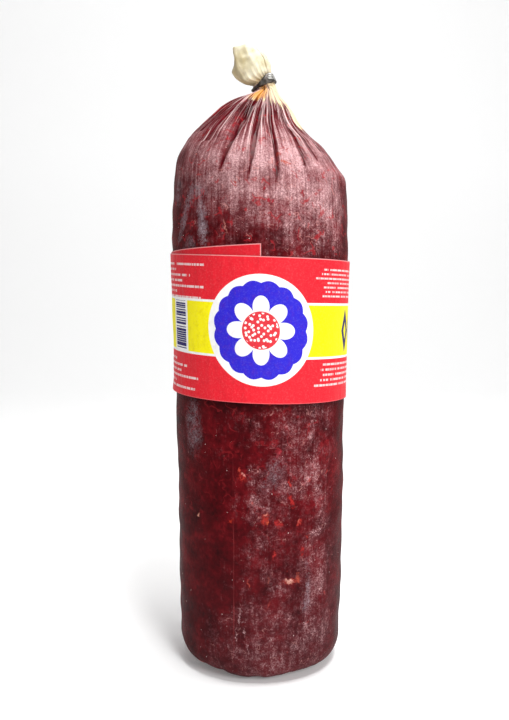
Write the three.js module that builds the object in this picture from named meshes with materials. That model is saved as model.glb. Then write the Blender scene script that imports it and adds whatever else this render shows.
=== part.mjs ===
// A large cured sausage standing on its lower end: minced filling in a film casing that is gathered
// and clipped at both ends, with a paper label wound round the middle.
// Millimetres, +Z up. The origin is on the sausage's axis, on the surface that it stands on.
// Azimuths go round from 0 at the front (-Y), by +90 degrees on the right (+X).
import * as THREE from "three";

const { clamp, degToRad, lerp, smoothstep } = THREE.MathUtils;

// ---- Driving dimensions ----

const film = 0.6; // wall of the casing, thicker than real film so that it is a sound solid
const clearance = 0.4; // gap between pieces that touch on the real object

const foot = {
  innerRadius: 17, // the flat ring that the sausage stands on
  outerRadius: 33,
  edgeHeight: 15, // height of the rounded lower edge
  dimple: 9, // how deep the clipped end is drawn in
};

const wall = {
  footRadius: 47.2,
  girth: 50, // radius at the fattest place
  girthHeight: 236,
  shoulderRadius: 49.3,
  shoulderHeight: 266, // where the wall starts to turn in
};

// Handles of the shoulder's profile, as shares of the shoulder's radius and of its rise to the neck.
const shoulder = {
  full: [1, 0.79, 0.14, 0.95], // the left side, domed
  straight: [1, 0.45, 0.35, 0.61], // the right side, drawn straight
  pleats: 10,
  pleatDepth: 2,
};

const neck = {
  radius: 4.9, // the gathered film inside the clip
  flatness: 0.8, // its depth as a share of its width
  offset: 3.2, // to the right of the axis
  height: 327.6,
  lean: degToRad(30), // to the left
  shank: 1.6, // from the shoulder to the clip
  channel: 0.9, // half the way that is left through the gathers
};

const clip = { width: 4.4, thickness: 2, mouth: degToRad(14) }; // the mouth is the gap between its ends
const lowerClip = { width: 3.2, stubRadius: 3.6, stubTip: 1.2 };

const tail = {
  rise: 16.5, // from the clip to the open mouth
  drift: 6.5, // how far the mouth is to the left of the clip
  lean: degToRad(8), // of the mouth
  halfWidth: 10.6,
  mouthHalfWidth: 8.2,
  halfDepth: 5.4,
};

const label = {
  height: 77,
  paper: 0.25,
  wound: 474, // length of the strip, in degrees round the sausage
  lowestTop: 231.1, // top edge where the strip hangs lowest
  lowestAt: 245, // degrees wound before it gets there
  fall: 0.041, // slope of the edge on the way down, in mm for each degree
  climb: 0.03, // and on the way up
  rounding: 25, // degrees over which one slope turns into the other
};

const around = 40; // points round the sausage
const azimuths = Array.from({ length: around }, (_, k) => (2 * Math.PI * k) / around);

// ---- Shapes shared by the pieces ----

// A closed solid through rings of points that run anticlockwise seen from ahead, with a fan at each end.
function loft(rings) {
  const count = rings[0].length;
  const points = rings.flat();
  const faces = [];
  for (let i = 0; i + 1 < rings.length; i++) {
    for (let k = 0; k < count; k++) {
      const a = i * count + k;
      const b = i * count + ((k + 1) % count);
      faces.push(a, b, b + count, a, b + count, a + count);
    }
  }
  const fan = (ring, first, turned) => {
    const middle = ring.reduce((sum, p) => sum.add(p), new THREE.Vector3()).divideScalar(count);
    const centre = points.push(middle) - 1;
    for (let k = 0; k < count; k++) {
      const edge = [first + k, first + ((k + 1) % count)];
      faces.push(centre, ...(turned ? edge.reverse() : edge));
    }
  };
  fan(rings[0], 0, true);
  fan(rings.at(-1), (rings.length - 1) * count, false);
  const geometry = new THREE.BufferGeometry().setFromPoints(points).setIndex(faces);
  geometry.computeVertexNormals();
  return geometry;
}

// One ring of the sausage about a centre (x, z), in a plane that leans to the left.
function ring(centre, lean, radiusAt, riseAt = () => 0) {
  return azimuths.map((azimuth) => {
    const radius = radiusAt(azimuth);
    const side = radius * Math.sin(azimuth);
    return new THREE.Vector3(
      centre.x + side * Math.cos(lean),
      -radius * Math.cos(azimuth),
      centre.y + side * Math.sin(lean) + riseAt(azimuth),
    );
  });
}

const flatRing = (radius, z) => ring(new THREE.Vector2(0, z), 0, () => radius);
const oval = (halfWidth, halfDepth) => (azimuth) =>
  1 / Math.hypot(Math.sin(azimuth) / halfWidth, Math.cos(azimuth) / halfDepth);

// Rings moved inwards, square to the surface, by a depth that may change from ring to ring.
function inset(rings, depthAt) {
  const last = rings.length - 1;
  return rings.map((points, i) =>
    points.map((point, k) => {
      const next = points[(k + 1) % around];
      const before = points[(k + around - 1) % around];
      const along = rings[Math.min(i + 1, last)][k].clone().sub(rings[Math.max(i - 1, 0)][k]);
      const outward = next.clone().sub(before).cross(along).normalize();
      return point.clone().addScaledVector(outward, -depthAt(i));
    }),
  );
}

// ---- The casing's outer surface, from the lower end up ----

function wallRadius(z) {
  const rise = clamp((z - foot.edgeHeight) / (wall.girthHeight - foot.edgeHeight), 0, 1);
  const fall = clamp((z - wall.girthHeight) / (wall.shoulderHeight - wall.girthHeight), 0, 1);
  const swell = (wall.girth - wall.footRadius) * rise ** 1.8;
  return wall.footRadius + swell - (wall.girth - wall.shoulderRadius) * fall ** 2;
}

// The wrinkled end is drawn up round the lower clip.
function dimpleRings() {
  const bend = new THREE.CubicBezierCurve(
    new THREE.Vector2(lowerClip.stubRadius * 1.4, foot.dimple),
    new THREE.Vector2(foot.innerRadius * 0.6, foot.dimple),
    new THREE.Vector2(foot.innerRadius * 0.7, 0),
    new THREE.Vector2(foot.innerRadius, 0),
  );
  return bend.getPoints(4).map((p) => flatRing(p.x, p.y));
}

function edgeRings() {
  const steps = 4;
  return Array.from({ length: steps }, (_, i) => {
    const turn = (Math.PI / 2) * (i / steps);
    const out = (wall.footRadius - foot.outerRadius) * Math.sin(turn);
    return flatRing(foot.outerRadius + out, foot.edgeHeight * (1 - Math.cos(turn)));
  });
}

function wallRings() {
  const steps = 7;
  return Array.from({ length: steps }, (_, i) => {
    const z = lerp(foot.edgeHeight, wall.shoulderHeight, i / steps);
    return flatRing(wallRadius(z), z);
  });
}

// The shoulder is full on the left and straight on the right, and each azimuth has its share of both.
function shoulderRings() {
  const rise = neck.height - wall.shoulderHeight;
  const profile = ([outLow, upLow, outHigh, upHigh]) =>
    new THREE.CubicBezierCurve(
      new THREE.Vector2(wall.shoulderRadius, 0),
      new THREE.Vector2(wall.shoulderRadius * outLow, rise * upLow),
      new THREE.Vector2(wall.shoulderRadius * outHigh, rise * upHigh),
      new THREE.Vector2(neck.radius, rise),
    );
  const full = profile(shoulder.full);
  const straight = profile(shoulder.straight);
  const rightShare = (azimuth) => (1 + Math.sin(azimuth)) / 2;
  const groove = (azimuth) => 1 - Math.abs(Math.cos((shoulder.pleats * azimuth) / 2));
  const steps = 12;
  return Array.from({ length: steps }, (_, i) => {
    const t = i / steps;
    const left = full.getPoint(t);
    const right = straight.getPoint(t);
    const depth = shoulder.pleatDepth * smoothstep(t, 0.1, 0.6) * (1 - t ** 4);
    return ring(
      new THREE.Vector2(neck.offset * smoothstep(t, 0.5, 1), wall.shoulderHeight),
      neck.lean * t ** 6,
      (azimuth) => lerp(left.x, right.x, rightShare(azimuth)) - depth * groove(azimuth),
      (azimuth) => lerp(left.y, right.y, rightShare(azimuth)),
    );
  });
}

// The gathered neck goes through the clip along the lean.
const neckLength = neck.shank + clip.width + clearance;
const alongNeck = (distance) =>
  new THREE.Vector2(neck.offset - distance * Math.sin(neck.lean), neck.height + distance * Math.cos(neck.lean));
const neckRings = [0, neckLength].map((distance) =>
  ring(alongNeck(distance), neck.lean, oval(neck.radius, neck.radius * neck.flatness)),
);

// Above the clip the spare film opens into a flattened pouch with a mouth.
function tailRings() {
  const start = alongNeck(neckLength);
  const way = new THREE.QuadraticBezierCurve(
    start,
    alongNeck(neckLength + tail.rise * 0.4),
    new THREE.Vector2(start.x - tail.drift, start.y + tail.rise),
  );
  const steps = 7;
  return Array.from({ length: steps }, (_, i) => {
    const t = (i + 1) / steps;
    const open = Math.sin((Math.PI / 2) * Math.min(1, t * 2.4));
    const full = lerp(tail.halfWidth, tail.mouthHalfWidth, smoothstep(t, 0.3, 1));
    return ring(
      way.getPoint(t),
      lerp(neck.lean, tail.lean, t),
      oval(lerp(neck.radius, full, open), lerp(neck.radius * neck.flatness, tail.halfDepth, open)),
    );
  });
}

const body = [...dimpleRings(), ...edgeRings(), ...wallRings(), ...shoulderRings()];

// ---- The pieces ----

function casingGeometry() {
  const { stubRadius, stubTip } = lowerClip;
  const stub = [
    flatRing(stubRadius * 0.7, stubTip),
    flatRing(stubRadius, stubTip + 0.8),
    flatRing(stubRadius, foot.dimple - film),
  ];
  const skin = [...body, ...neckRings, ...tailRings()];
  const gathered = (i) => i >= body.length && i < body.length + neckRings.length;
  const gatherDepth = neck.radius * neck.flatness - neck.channel;
  const lining = inset(skin, (i) => (gathered(i) ? gatherDepth : film));
  return loft([...stub, ...skin, ...lining.reverse()]);
}

// The filling stops short of the gathers.
function fillingGeometry() {
  return loft(inset(body, () => film + clearance).slice(0, -2));
}

// A flat wire bent round a gathered neck, with its ends nearly meeting on the left.
function clipGeometry(innerHalfWidth, innerHalfDepth, width) {
  const half = clip.thickness / 2;
  const path = new THREE.EllipseCurve(
    0,
    0,
    innerHalfWidth + half,
    innerHalfDepth + half,
    Math.PI + clip.mouth / 2,
    3 * Math.PI - clip.mouth / 2,
  );
  const steps = 28;
  const bent = new THREE.CatmullRomCurve3(path.getPoints(steps).map((p) => new THREE.Vector3(p.x, p.y, 0)));
  const flat = width / 2 - half / 2; // where the section's rounded edge starts
  const section = new THREE.Shape()
    .moveTo(-flat, -half)
    .lineTo(flat, -half)
    .quadraticCurveTo(width / 2, -half, width / 2, 0)
    .quadraticCurveTo(width / 2, half, flat, half)
    .lineTo(-flat, half)
    .quadraticCurveTo(-width / 2, half, -width / 2, 0)
    .quadraticCurveTo(-width / 2, -half, -flat, -half);
  return new THREE.ExtrudeGeometry(section, { steps, curveSegments: 2, extrudePath: bent });
}

// The strip starts under itself at the front, runs by the left and the back, and ends past the left side.
function labelGeometry() {
  const mean = (label.fall + label.climb) / 2;
  const skew = (label.climb - label.fall) / 2;
  const topAt = (angle) => {
    const run = angle - label.lowestAt;
    return label.lowestTop + mean * (Math.hypot(run, label.rounding) - label.rounding) + skew * run;
  };
  const steps = 66;
  const rows = 7; // up the strip, so that it follows the wall
  const sections = Array.from({ length: steps + 1 }, (_, i) => {
    const angle = (label.wound * i) / steps;
    const azimuth = -degToRad(angle);
    const lift = clearance + (angle / 360) * (label.paper + clearance);
    const side = (depth) =>
      Array.from({ length: rows + 1 }, (_, row) => {
        const z = topAt(angle) - label.height * (1 - row / rows);
        const radius = wallRadius(z) + lift + depth;
        return new THREE.Vector3(radius * Math.sin(azimuth), -radius * Math.cos(azimuth), z);
      });
    return [...side(label.paper), ...side(0).reverse()];
  });
  return loft(sections);
}

function piece(name, geometry, material) {
  const mesh = new THREE.Mesh(geometry, new THREE.MeshStandardMaterial(material));
  mesh.name = name;
  return mesh;
}

const aluminium = { color: 0x8b8a88, roughness: 0.4, metalness: 1 };
const sausage = new THREE.Group();

sausage.add(piece("casing", casingGeometry(), { color: 0x6e2a2d, roughness: 0.5, metalness: 0 }));
sausage.add(piece("meat_filling", fillingGeometry(), { color: 0x5a1416, roughness: 0.6, metalness: 0 }));
sausage.add(piece("paper_label", labelGeometry(), { color: 0xe02f3b, roughness: 0.7, metalness: 0 }));

const neckHole = neck.radius + clearance;
const neckHoleDepth = neck.radius * neck.flatness + clearance;
const upper = piece("upper_clip", clipGeometry(neckHole, neckHoleDepth, clip.width), aluminium);
const clipCentre = alongNeck(neck.shank + clip.width / 2);
upper.position.set(clipCentre.x, 0, clipCentre.y);
upper.rotation.y = -neck.lean;
sausage.add(upper);

const stubHole = lowerClip.stubRadius + clearance;
const lower = piece("lower_clip", clipGeometry(stubHole, stubHole, lowerClip.width), aluminium);
lower.position.z = (lowerClip.stubTip + foot.dimple) / 2;
sausage.add(lower);

export default sausage;
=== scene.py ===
# A large cured sausage in a clear casing, clipped at both ends, with a paper label wound round it.
# The meshes are built in millimetres and turned to metres when they are made. Azimuth 0 is the front
# (-Y), and it grows to the right (+X). Heights are above the surface that the sausage stands on.
import math

import bpy
import numpy as np
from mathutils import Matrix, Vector


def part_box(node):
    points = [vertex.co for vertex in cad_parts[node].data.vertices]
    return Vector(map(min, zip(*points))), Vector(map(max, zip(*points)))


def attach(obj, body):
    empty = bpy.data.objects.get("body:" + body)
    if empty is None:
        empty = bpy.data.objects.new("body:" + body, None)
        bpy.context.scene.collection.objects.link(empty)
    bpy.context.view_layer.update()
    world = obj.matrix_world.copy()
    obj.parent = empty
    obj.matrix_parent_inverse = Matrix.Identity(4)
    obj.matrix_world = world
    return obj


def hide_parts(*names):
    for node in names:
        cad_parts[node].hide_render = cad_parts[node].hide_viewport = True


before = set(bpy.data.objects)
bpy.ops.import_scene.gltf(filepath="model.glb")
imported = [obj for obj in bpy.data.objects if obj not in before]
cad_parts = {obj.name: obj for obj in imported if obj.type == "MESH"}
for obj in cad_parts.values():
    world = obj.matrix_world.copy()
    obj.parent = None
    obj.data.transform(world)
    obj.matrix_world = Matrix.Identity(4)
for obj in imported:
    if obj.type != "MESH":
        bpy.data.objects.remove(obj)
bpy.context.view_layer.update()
mm = 0.001
clipLow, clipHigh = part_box("upper_clip")
labelLow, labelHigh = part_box("paper_label")
casingLow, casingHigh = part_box("casing")
clipCentre = np.array((clipLow + clipHigh) / 2) / mm  # the gathered neck goes through here
print("frame loaded, casing", [round((h - l) / mm, 1) for l, h in zip(casingLow, casingHigh)], "mm")


def linearColour(hexText):
    shares = [int(hexText[i:i + 2], 16) / 255 for i in (1, 3, 5)]
    return [s / 12.92 if s <= 0.04045 else ((s + 0.055) / 1.055) ** 2.4 for s in shares] + [1.0]


# Adds one node and returns one of its outputs. inputs holds values, hex colours or outputs to link, in the
# order of the sockets or by socket. stops are the places and colours along a ramp. In a colour Mix, input 0
# is the share of the colour in input 7 that lies over the one in input 6, and output 2 is the result.
def addNode(tree, kind, inputs=(), out=0, stops=(), **settings):
    node = tree.nodes.new("ShaderNode" + kind)
    for name, value in settings.items():
        setattr(node, name, value)
    for socket, value in inputs.items() if isinstance(inputs, dict) else enumerate(inputs):
        if isinstance(value, bpy.types.NodeSocket):
            tree.links.new(value, node.inputs[socket])
        else:
            node.inputs[socket].default_value = linearColour(value) if isinstance(value, str) else value
    if stops:
        elements = node.color_ramp.elements
        while len(elements) < len(stops):
            elements.new(0.5)
        for element, (place, colour) in zip(elements, stops):
            element.position = place
            element.color = linearColour(colour)
    return node.outputs[out] if node.outputs else node


def scaleOf(millimetres):
    return 1000 / millimetres  # the scale of a pattern on object coordinates whose lumps are this wide


def newMaterial(name):
    material = bpy.data.materials.new(name)
    material.use_nodes = True
    material.node_tree.nodes.clear()
    return material, material.node_tree


def smoothStep(value, low, high):
    share = np.clip((value - low) / (high - low), 0, 1)
    return share * share * (3 - 2 * share)


def mix(a, b, share):
    return a + (b - a) * share


# A smooth random field between about -1 and 1, with lumps of the given size.
def lumps(points, size, seed, waves=9):
    rng = np.random.default_rng(seed)
    total = np.zeros(points.shape[:-1])
    for _ in range(waves):
        direction = rng.normal(size=3)
        direction *= 2 * math.pi / (size * rng.uniform(0.7, 1.5) * np.linalg.norm(direction))
        total += np.sin(points @ direction + rng.uniform(0, 2 * math.pi))
    return total / math.sqrt(waves)


# Turns rows of points into quads. Each row is a closed ring, and the two ends are closed by fans.
def ringMesh(name, rings, uv=None):
    rows, columns = rings.shape[:2]
    points = rings.reshape(-1, 3)
    row, column = np.meshgrid(np.arange(rows - 1), np.arange(columns), indexing="ij")
    row, column = row.ravel(), column.ravel()
    after = (column + 1) % columns
    quads = np.stack([row * columns + column, row * columns + after,
                      (row + 1) * columns + after, (row + 1) * columns + column], 1)
    faces = quads.tolist()
    ends = []
    for first, turned in ((0, True), ((rows - 1) * columns, False)):
        centre = len(points) + len(ends)
        ends.append(points[first:first + columns].mean(0))
        for k in range(columns):
            edge = [first + k, first + (k + 1) % columns]
            faces.append([centre] + (edge[::-1] if turned else edge))
    mesh = bpy.data.meshes.new(name)
    everyPoint = np.vstack([points] + [e[None] for e in ends]) * mm
    mesh.from_pydata(everyPoint.tolist(), [], faces)
    mesh.shade_smooth()
    if uv is not None:
        layer = mesh.uv_layers.new(name="millimetres")
        across, up = uv  # across has one more column than the rings, so that the seam stays whole
        corners = np.zeros((len(mesh.loops), 2))
        for shift, (rowStep, columnStep) in enumerate(((0, 0), (0, 1), (1, 1), (1, 0))):
            corners[shift:len(quads) * 4:4, 0] = across[row + rowStep, column + columnStep]
            corners[shift:len(quads) * 4:4, 1] = up[row + rowStep, column + columnStep]
        layer.data.foreach_set("uv", corners.ravel())
    piece = bpy.data.objects.new(name, mesh)
    bpy.context.scene.collection.objects.link(piece)
    return piece


# Stores one number, or one vector, at every point of a mesh for its material to read.
def addValues(piece, name, values):
    size = values.shape[2] if values.ndim == 3 else 1
    padded = np.zeros((len(piece.data.vertices), size), np.float32)
    flat = values.reshape(-1, size)
    padded[:len(flat)] = flat
    padded[len(flat):] = flat[-1]
    kind, field = ("FLOAT", "value") if size == 1 else ("FLOAT_VECTOR", "vector")
    piece.data.attributes.new(name, kind, "POINT").data.foreach_set(field, padded.ravel())


def outwardOf(rings):
    along = np.gradient(rings, axis=0)
    around = (np.roll(rings, -1, 1) - np.roll(rings, 1, 1)) / 2
    normal = np.cross(around, along)
    return normal / np.maximum(np.linalg.norm(normal, axis=2, keepdims=True), 1e-9)


def bezier(controls, share):
    a, b, c, d = (np.array(p, float) for p in controls)
    t = share[..., None]
    return (1 - t) ** 3 * a + 3 * (1 - t) ** 2 * t * b + 3 * (1 - t) * t * t * c + t ** 3 * d


# A smooth line (or a smooth sheet of rows) through the given points.
def smoothLine(points, count):
    points = np.array(points, float)
    place = np.linspace(0, len(points) - 1.0001, count)
    index = place.astype(int)
    share = (place - index).reshape((-1,) + (1,) * (points.ndim - 1))
    before, here = points[np.maximum(index - 1, 0)], points[index]
    after, far = points[index + 1], points[np.minimum(index + 2, len(points) - 1)]
    line = here + share * (after - before) / 2 + share ** 2 * (before - 2.5 * here + 2 * after - far / 2)
    return line + share ** 3 * (1.5 * (here - after) + (far - before) / 2)


# How the label is wound: one strip, from under itself at the front, round by the left and the back.
label = dict(
    height=77.0, paper=0.25, wound=474.0, lift=0.34, layer=0.42,
    lowestTop=231.1, lowestAt=245.0, fall=0.041, climb=0.030, rounding=25.0,
    printRadius=50.4,  # where a millimetre of print is a millimetre of the wound strip
    steps=330, rows=26,
)


def labelTop(wound):
    mean = (label["fall"] + label["climb"]) / 2
    skew = (label["climb"] - label["fall"]) / 2
    run = wound - label["lowestAt"]
    return label["lowestTop"] + mean * (np.hypot(run, label["rounding"]) - label["rounding"]) + skew * run


# Casing: one film from the drawn-in lower end up to the clip, with a tuft above it.
casing = dict(
    around=400, shoulderRows=116,
    stubRadius=3.6, stubTip=1.2, dimple=9.0, footInner=17.0, footOuter=33.0, edgeHeight=15.0,
    footRadius=47.2, girth=50.0, girthHeight=236.0, shoulderRadius=49.3, shoulderHeight=266.0,
    # (radius, height) on the two sides: the left is domed, the right is drawn straight to the clip
    leftSide=[(49.3, 266), (48.5, 278), (45.9, 290.5), (39.2, 300.5), (30.8, 309), (22.6, 318.2),
              (14.6, 324.8)],
    rightSide=[(49.3, 266), (47.8, 276.6), (43.3, 283.2), (33.8, 295.4), (23.6, 304.8), (16.0, 315.6),
               (7.8, 323.5)],
    neckRadius=4.9, neckFlatness=0.8, neckShank=3.8, neckLean=30.0,
    wallLumps=0.45, lobeHeight=1.3, pleats=150, footCreases=46, seed=31,
)

# The deep folds of the shoulder. end and start are azimuths at the wall and at the clip, height is
# where the fold runs out, and depth and width are in millimetres.
folds = [
    dict(end=-62, start=-48, height=300, depth=1.4, width=1.3),
    dict(end=-46, start=-36, height=293, depth=2.2, width=1.5),
    dict(end=-28, start=-9, height=275, depth=3.8, width=2.4),
    dict(end=-9, start=3, height=269.5, depth=3.3, width=1.9),
    dict(end=9, start=13, height=264, depth=3.4, width=2.0),
    dict(end=29, start=41, height=279, depth=1.9, width=1.4),
    dict(end=43, start=52, height=282, depth=1.4, width=1.2),
    dict(end=61, start=66, height=288, depth=1.6, width=1.4),
    dict(end=84, start=84, height=296, depth=1.3, width=1.5),
    dict(end=112, start=105, height=284, depth=2.8, width=2.0),
    dict(end=134, start=130, height=276, depth=3.2, width=2.0),
    dict(end=163, start=152, height=280, depth=2.6, width=2.2),
    dict(end=188, start=182, height=272, depth=3.3, width=1.9),
    dict(end=214, start=205, height=283, depth=2.5, width=1.8),
    dict(end=236, start=232, height=290, depth=2.0, width=2.0),
    dict(end=262, start=268, height=302, depth=1.4, width=1.4),
]

# Flattened places round the lower edge, in millimetres.
dents = [
    dict(azimuth=-84, height=6, depth=4.4, wide=10, tall=4.6),
    dict(azimuth=82, height=16, depth=1.0, wide=22, tall=12),
    dict(azimuth=-42, height=1, depth=1.5, wide=15, tall=6),
    dict(azimuth=30, height=1, depth=1.5, wide=15, tall=6),
]


def wallRadius(height):
    rise = np.clip((height - casing["edgeHeight"]) / (casing["girthHeight"] - casing["edgeHeight"]), 0, 1)
    overGirth = casing["shoulderHeight"] - casing["girthHeight"]
    fall = np.clip((height - casing["girthHeight"]) / overGirth, 0, 1)
    swell = (casing["girth"] - casing["footRadius"]) * rise ** 1.8
    return casing["footRadius"] + swell - (casing["girth"] - casing["shoulderRadius"]) * fall ** 2


def levelRings(azimuth, radius, height):
    return np.stack([np.outer(radius, np.sin(azimuth)), -np.outer(radius, np.cos(azimuth)),
                     np.outer(height, np.ones_like(azimuth))], 2)


def skinRings(azimuth):
    stub = casing["stubRadius"]
    tip = casing["stubTip"]
    stubRings = levelRings(azimuth, [0.4 * stub, 0.85 * stub, stub, stub],
                           [tip, tip + 0.2, tip + 1, casing["dimple"] - 1])
    dimple = bezier([(stub * 1.4, casing["dimple"]), (casing["footInner"] * 0.6, casing["dimple"]),
                     (casing["footInner"] * 0.7, 0), (casing["footInner"], 0)], np.linspace(0, 1, 14))
    underside = np.linspace(casing["footInner"], casing["footOuter"], 9)[1:-1]
    turn = np.linspace(0, math.pi / 2, 19)[:-1]
    edgeOut = casing["footOuter"] + (casing["footRadius"] - casing["footOuter"]) * np.sin(turn)
    edgeUp = casing["edgeHeight"] * (1 - np.cos(turn))
    wallUp = np.linspace(casing["edgeHeight"], casing["shoulderHeight"], 84)[:-1]
    lower = np.concatenate([
        stubRings, levelRings(azimuth, dimple[:, 0], dimple[:, 1]),
        levelRings(azimuth, underside, np.zeros_like(underside)), levelRings(azimuth, edgeOut, edgeUp),
        levelRings(azimuth, wallRadius(wallUp), wallUp)])

    # Shoulder: the left side is domed, the right side is drawn straight, and each azimuth has a share.
    lean = math.radians(casing["neckLean"])
    neck = clipCentre - casing["neckShank"] * np.array([-math.sin(lean), 0, math.cos(lean)])
    t = np.linspace(0, 1, casing["shoulderRows"])
    sides = [smoothLine(casing[side] + [(casing["neckRadius"], neck[2])], len(t))[:, None, :]
             for side in ("leftSide", "rightSide")]
    share = ((1 + np.sin(azimuth)) / 2)[None, :, None]
    profile = mix(sides[0], sides[1], share)
    oval = 1 / np.hypot(np.sin(azimuth), np.cos(azimuth) / casing["neckFlatness"])
    radius = profile[..., 0] * mix(1, oval[None], (t ** 8)[:, None])
    tilt = (lean * t ** 7)[:, None]
    shift = neck[0] * smoothStep(t, 0.5, 1)[:, None]
    sideways = radius * np.sin(azimuth)
    shoulder = np.stack([shift + sideways * np.cos(tilt), -radius * np.cos(azimuth),
                         profile[..., 1] + sideways * np.sin(tilt)], 2)

    # The gathered neck runs on into the clip and ends there.
    axis = np.array([-math.sin(lean), 0, math.cos(lean)])
    steps = np.linspace(0, casing["neckShank"] + 1, 7)[1:]
    neckRings = shoulder[-1][None] + steps[:, None, None] * axis
    rings = np.concatenate([lower, shoulder, neckRings])
    shoulderShare = np.concatenate([np.zeros(len(lower)), t, np.ones(len(neckRings))])
    return rings, shoulderShare


# How cloudy the film is, with painted light mixed in: strong on the shoulder, in patches on the wall, and
# little at the lower left.
hazeAndPaintedLightPatches = [
    dict(azimuth=-48, height=290, wide=28, tall=16, amount=-0.04),
    dict(azimuth=-52, height=250, wide=24, tall=24, amount=-0.2),
    dict(azimuth=5, height=266, wide=60, tall=24, amount=0.5),
    # A painted highlight on the front of the shoulder.
    dict(azimuth=4, height=290, wide=22, tall=12, amount=0.3),
    dict(azimuth=45, height=250, wide=32, tall=24, amount=0.46),
    dict(azimuth=-62, height=132, wide=16, tall=22, amount=0.45),
    dict(azimuth=40, height=148, wide=34, tall=12, amount=0.35),
    dict(azimuth=4, height=146, wide=22, tall=10, amount=0.25),
    dict(azimuth=10, height=108, wide=20, tall=16, amount=0.42),
    dict(azimuth=38, height=128, wide=22, tall=22, amount=0.4),
    dict(azimuth=-2, height=86, wide=10, tall=22, amount=0.35),
    dict(azimuth=50, height=90, wide=24, tall=30, amount=0.3),
    dict(azimuth=42, height=52, wide=10, tall=26, amount=0.4),
    dict(azimuth=15, height=18, wide=48, tall=22, amount=0.55),
    # Little haze at the lower left is partly painted shade, on the side away from the light.
    dict(azimuth=-50, height=78, wide=24, tall=44, amount=-0.5),
    dict(azimuth=34, height=60, wide=30, tall=26, amount=0.26),
    dict(azimuth=-8, height=48, wide=20, tall=22, amount=0.1),
    # Long bands with little haze at both sides are painted shade, which darkens the film where it is seen
    # edge-on.
    dict(azimuth=-80, height=70, wide=26, tall=110, amount=-0.8),
    dict(azimuth=86, height=90, wide=20, tall=110, amount=-0.8),
    # The same painted shade at the sides, higher up.
    dict(azimuth=-84, height=262, wide=18, tall=40, amount=-0.5),
    dict(azimuth=86, height=262, wide=16, tall=40, amount=-0.7),
    dict(azimuth=112, height=180, wide=20, tall=60, amount=0.35),
    dict(azimuth=140, height=110, wide=24, tall=40, amount=0.4),
    dict(azimuth=180, height=60, wide=30, tall=26, amount=0.4),
    dict(azimuth=200, height=140, wide=20, tall=30, amount=0.35),
    dict(azimuth=235, height=250, wide=24, tall=24, amount=0.4),
    dict(azimuth=240, height=80, wide=20, tall=34, amount=0.35),
    dict(azimuth=150, height=262, wide=36, tall=24, amount=0.4),
]


def hazeAndPaintedLightOf(rings, bearing, t):
    # The haze rises on the shoulder, partly as a painted highlight where light falls from above.
    hazeAndPaintedLight = -0.1 + 0.48 * smoothStep(rings[..., 2], 222, 288) + 0.1 * (1 - smoothStep(rings[..., 2], 20, 90))
    for patch in hazeAndPaintedLightPatches:
        across = np.radians((bearing - patch["azimuth"] + 180) % 360 - 180) * casing["girth"]
        up = rings[..., 2] - patch["height"]
        hazeAndPaintedLight += 0.75 * patch["amount"] * np.exp(-(across / patch["wide"]) ** 2 - (up / patch["tall"]) ** 2)
    return hazeAndPaintedLight * (1 - smoothStep(t, 0.42, 0.75)) - 0.4 * smoothStep(t, 0.45, 0.75)


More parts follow.
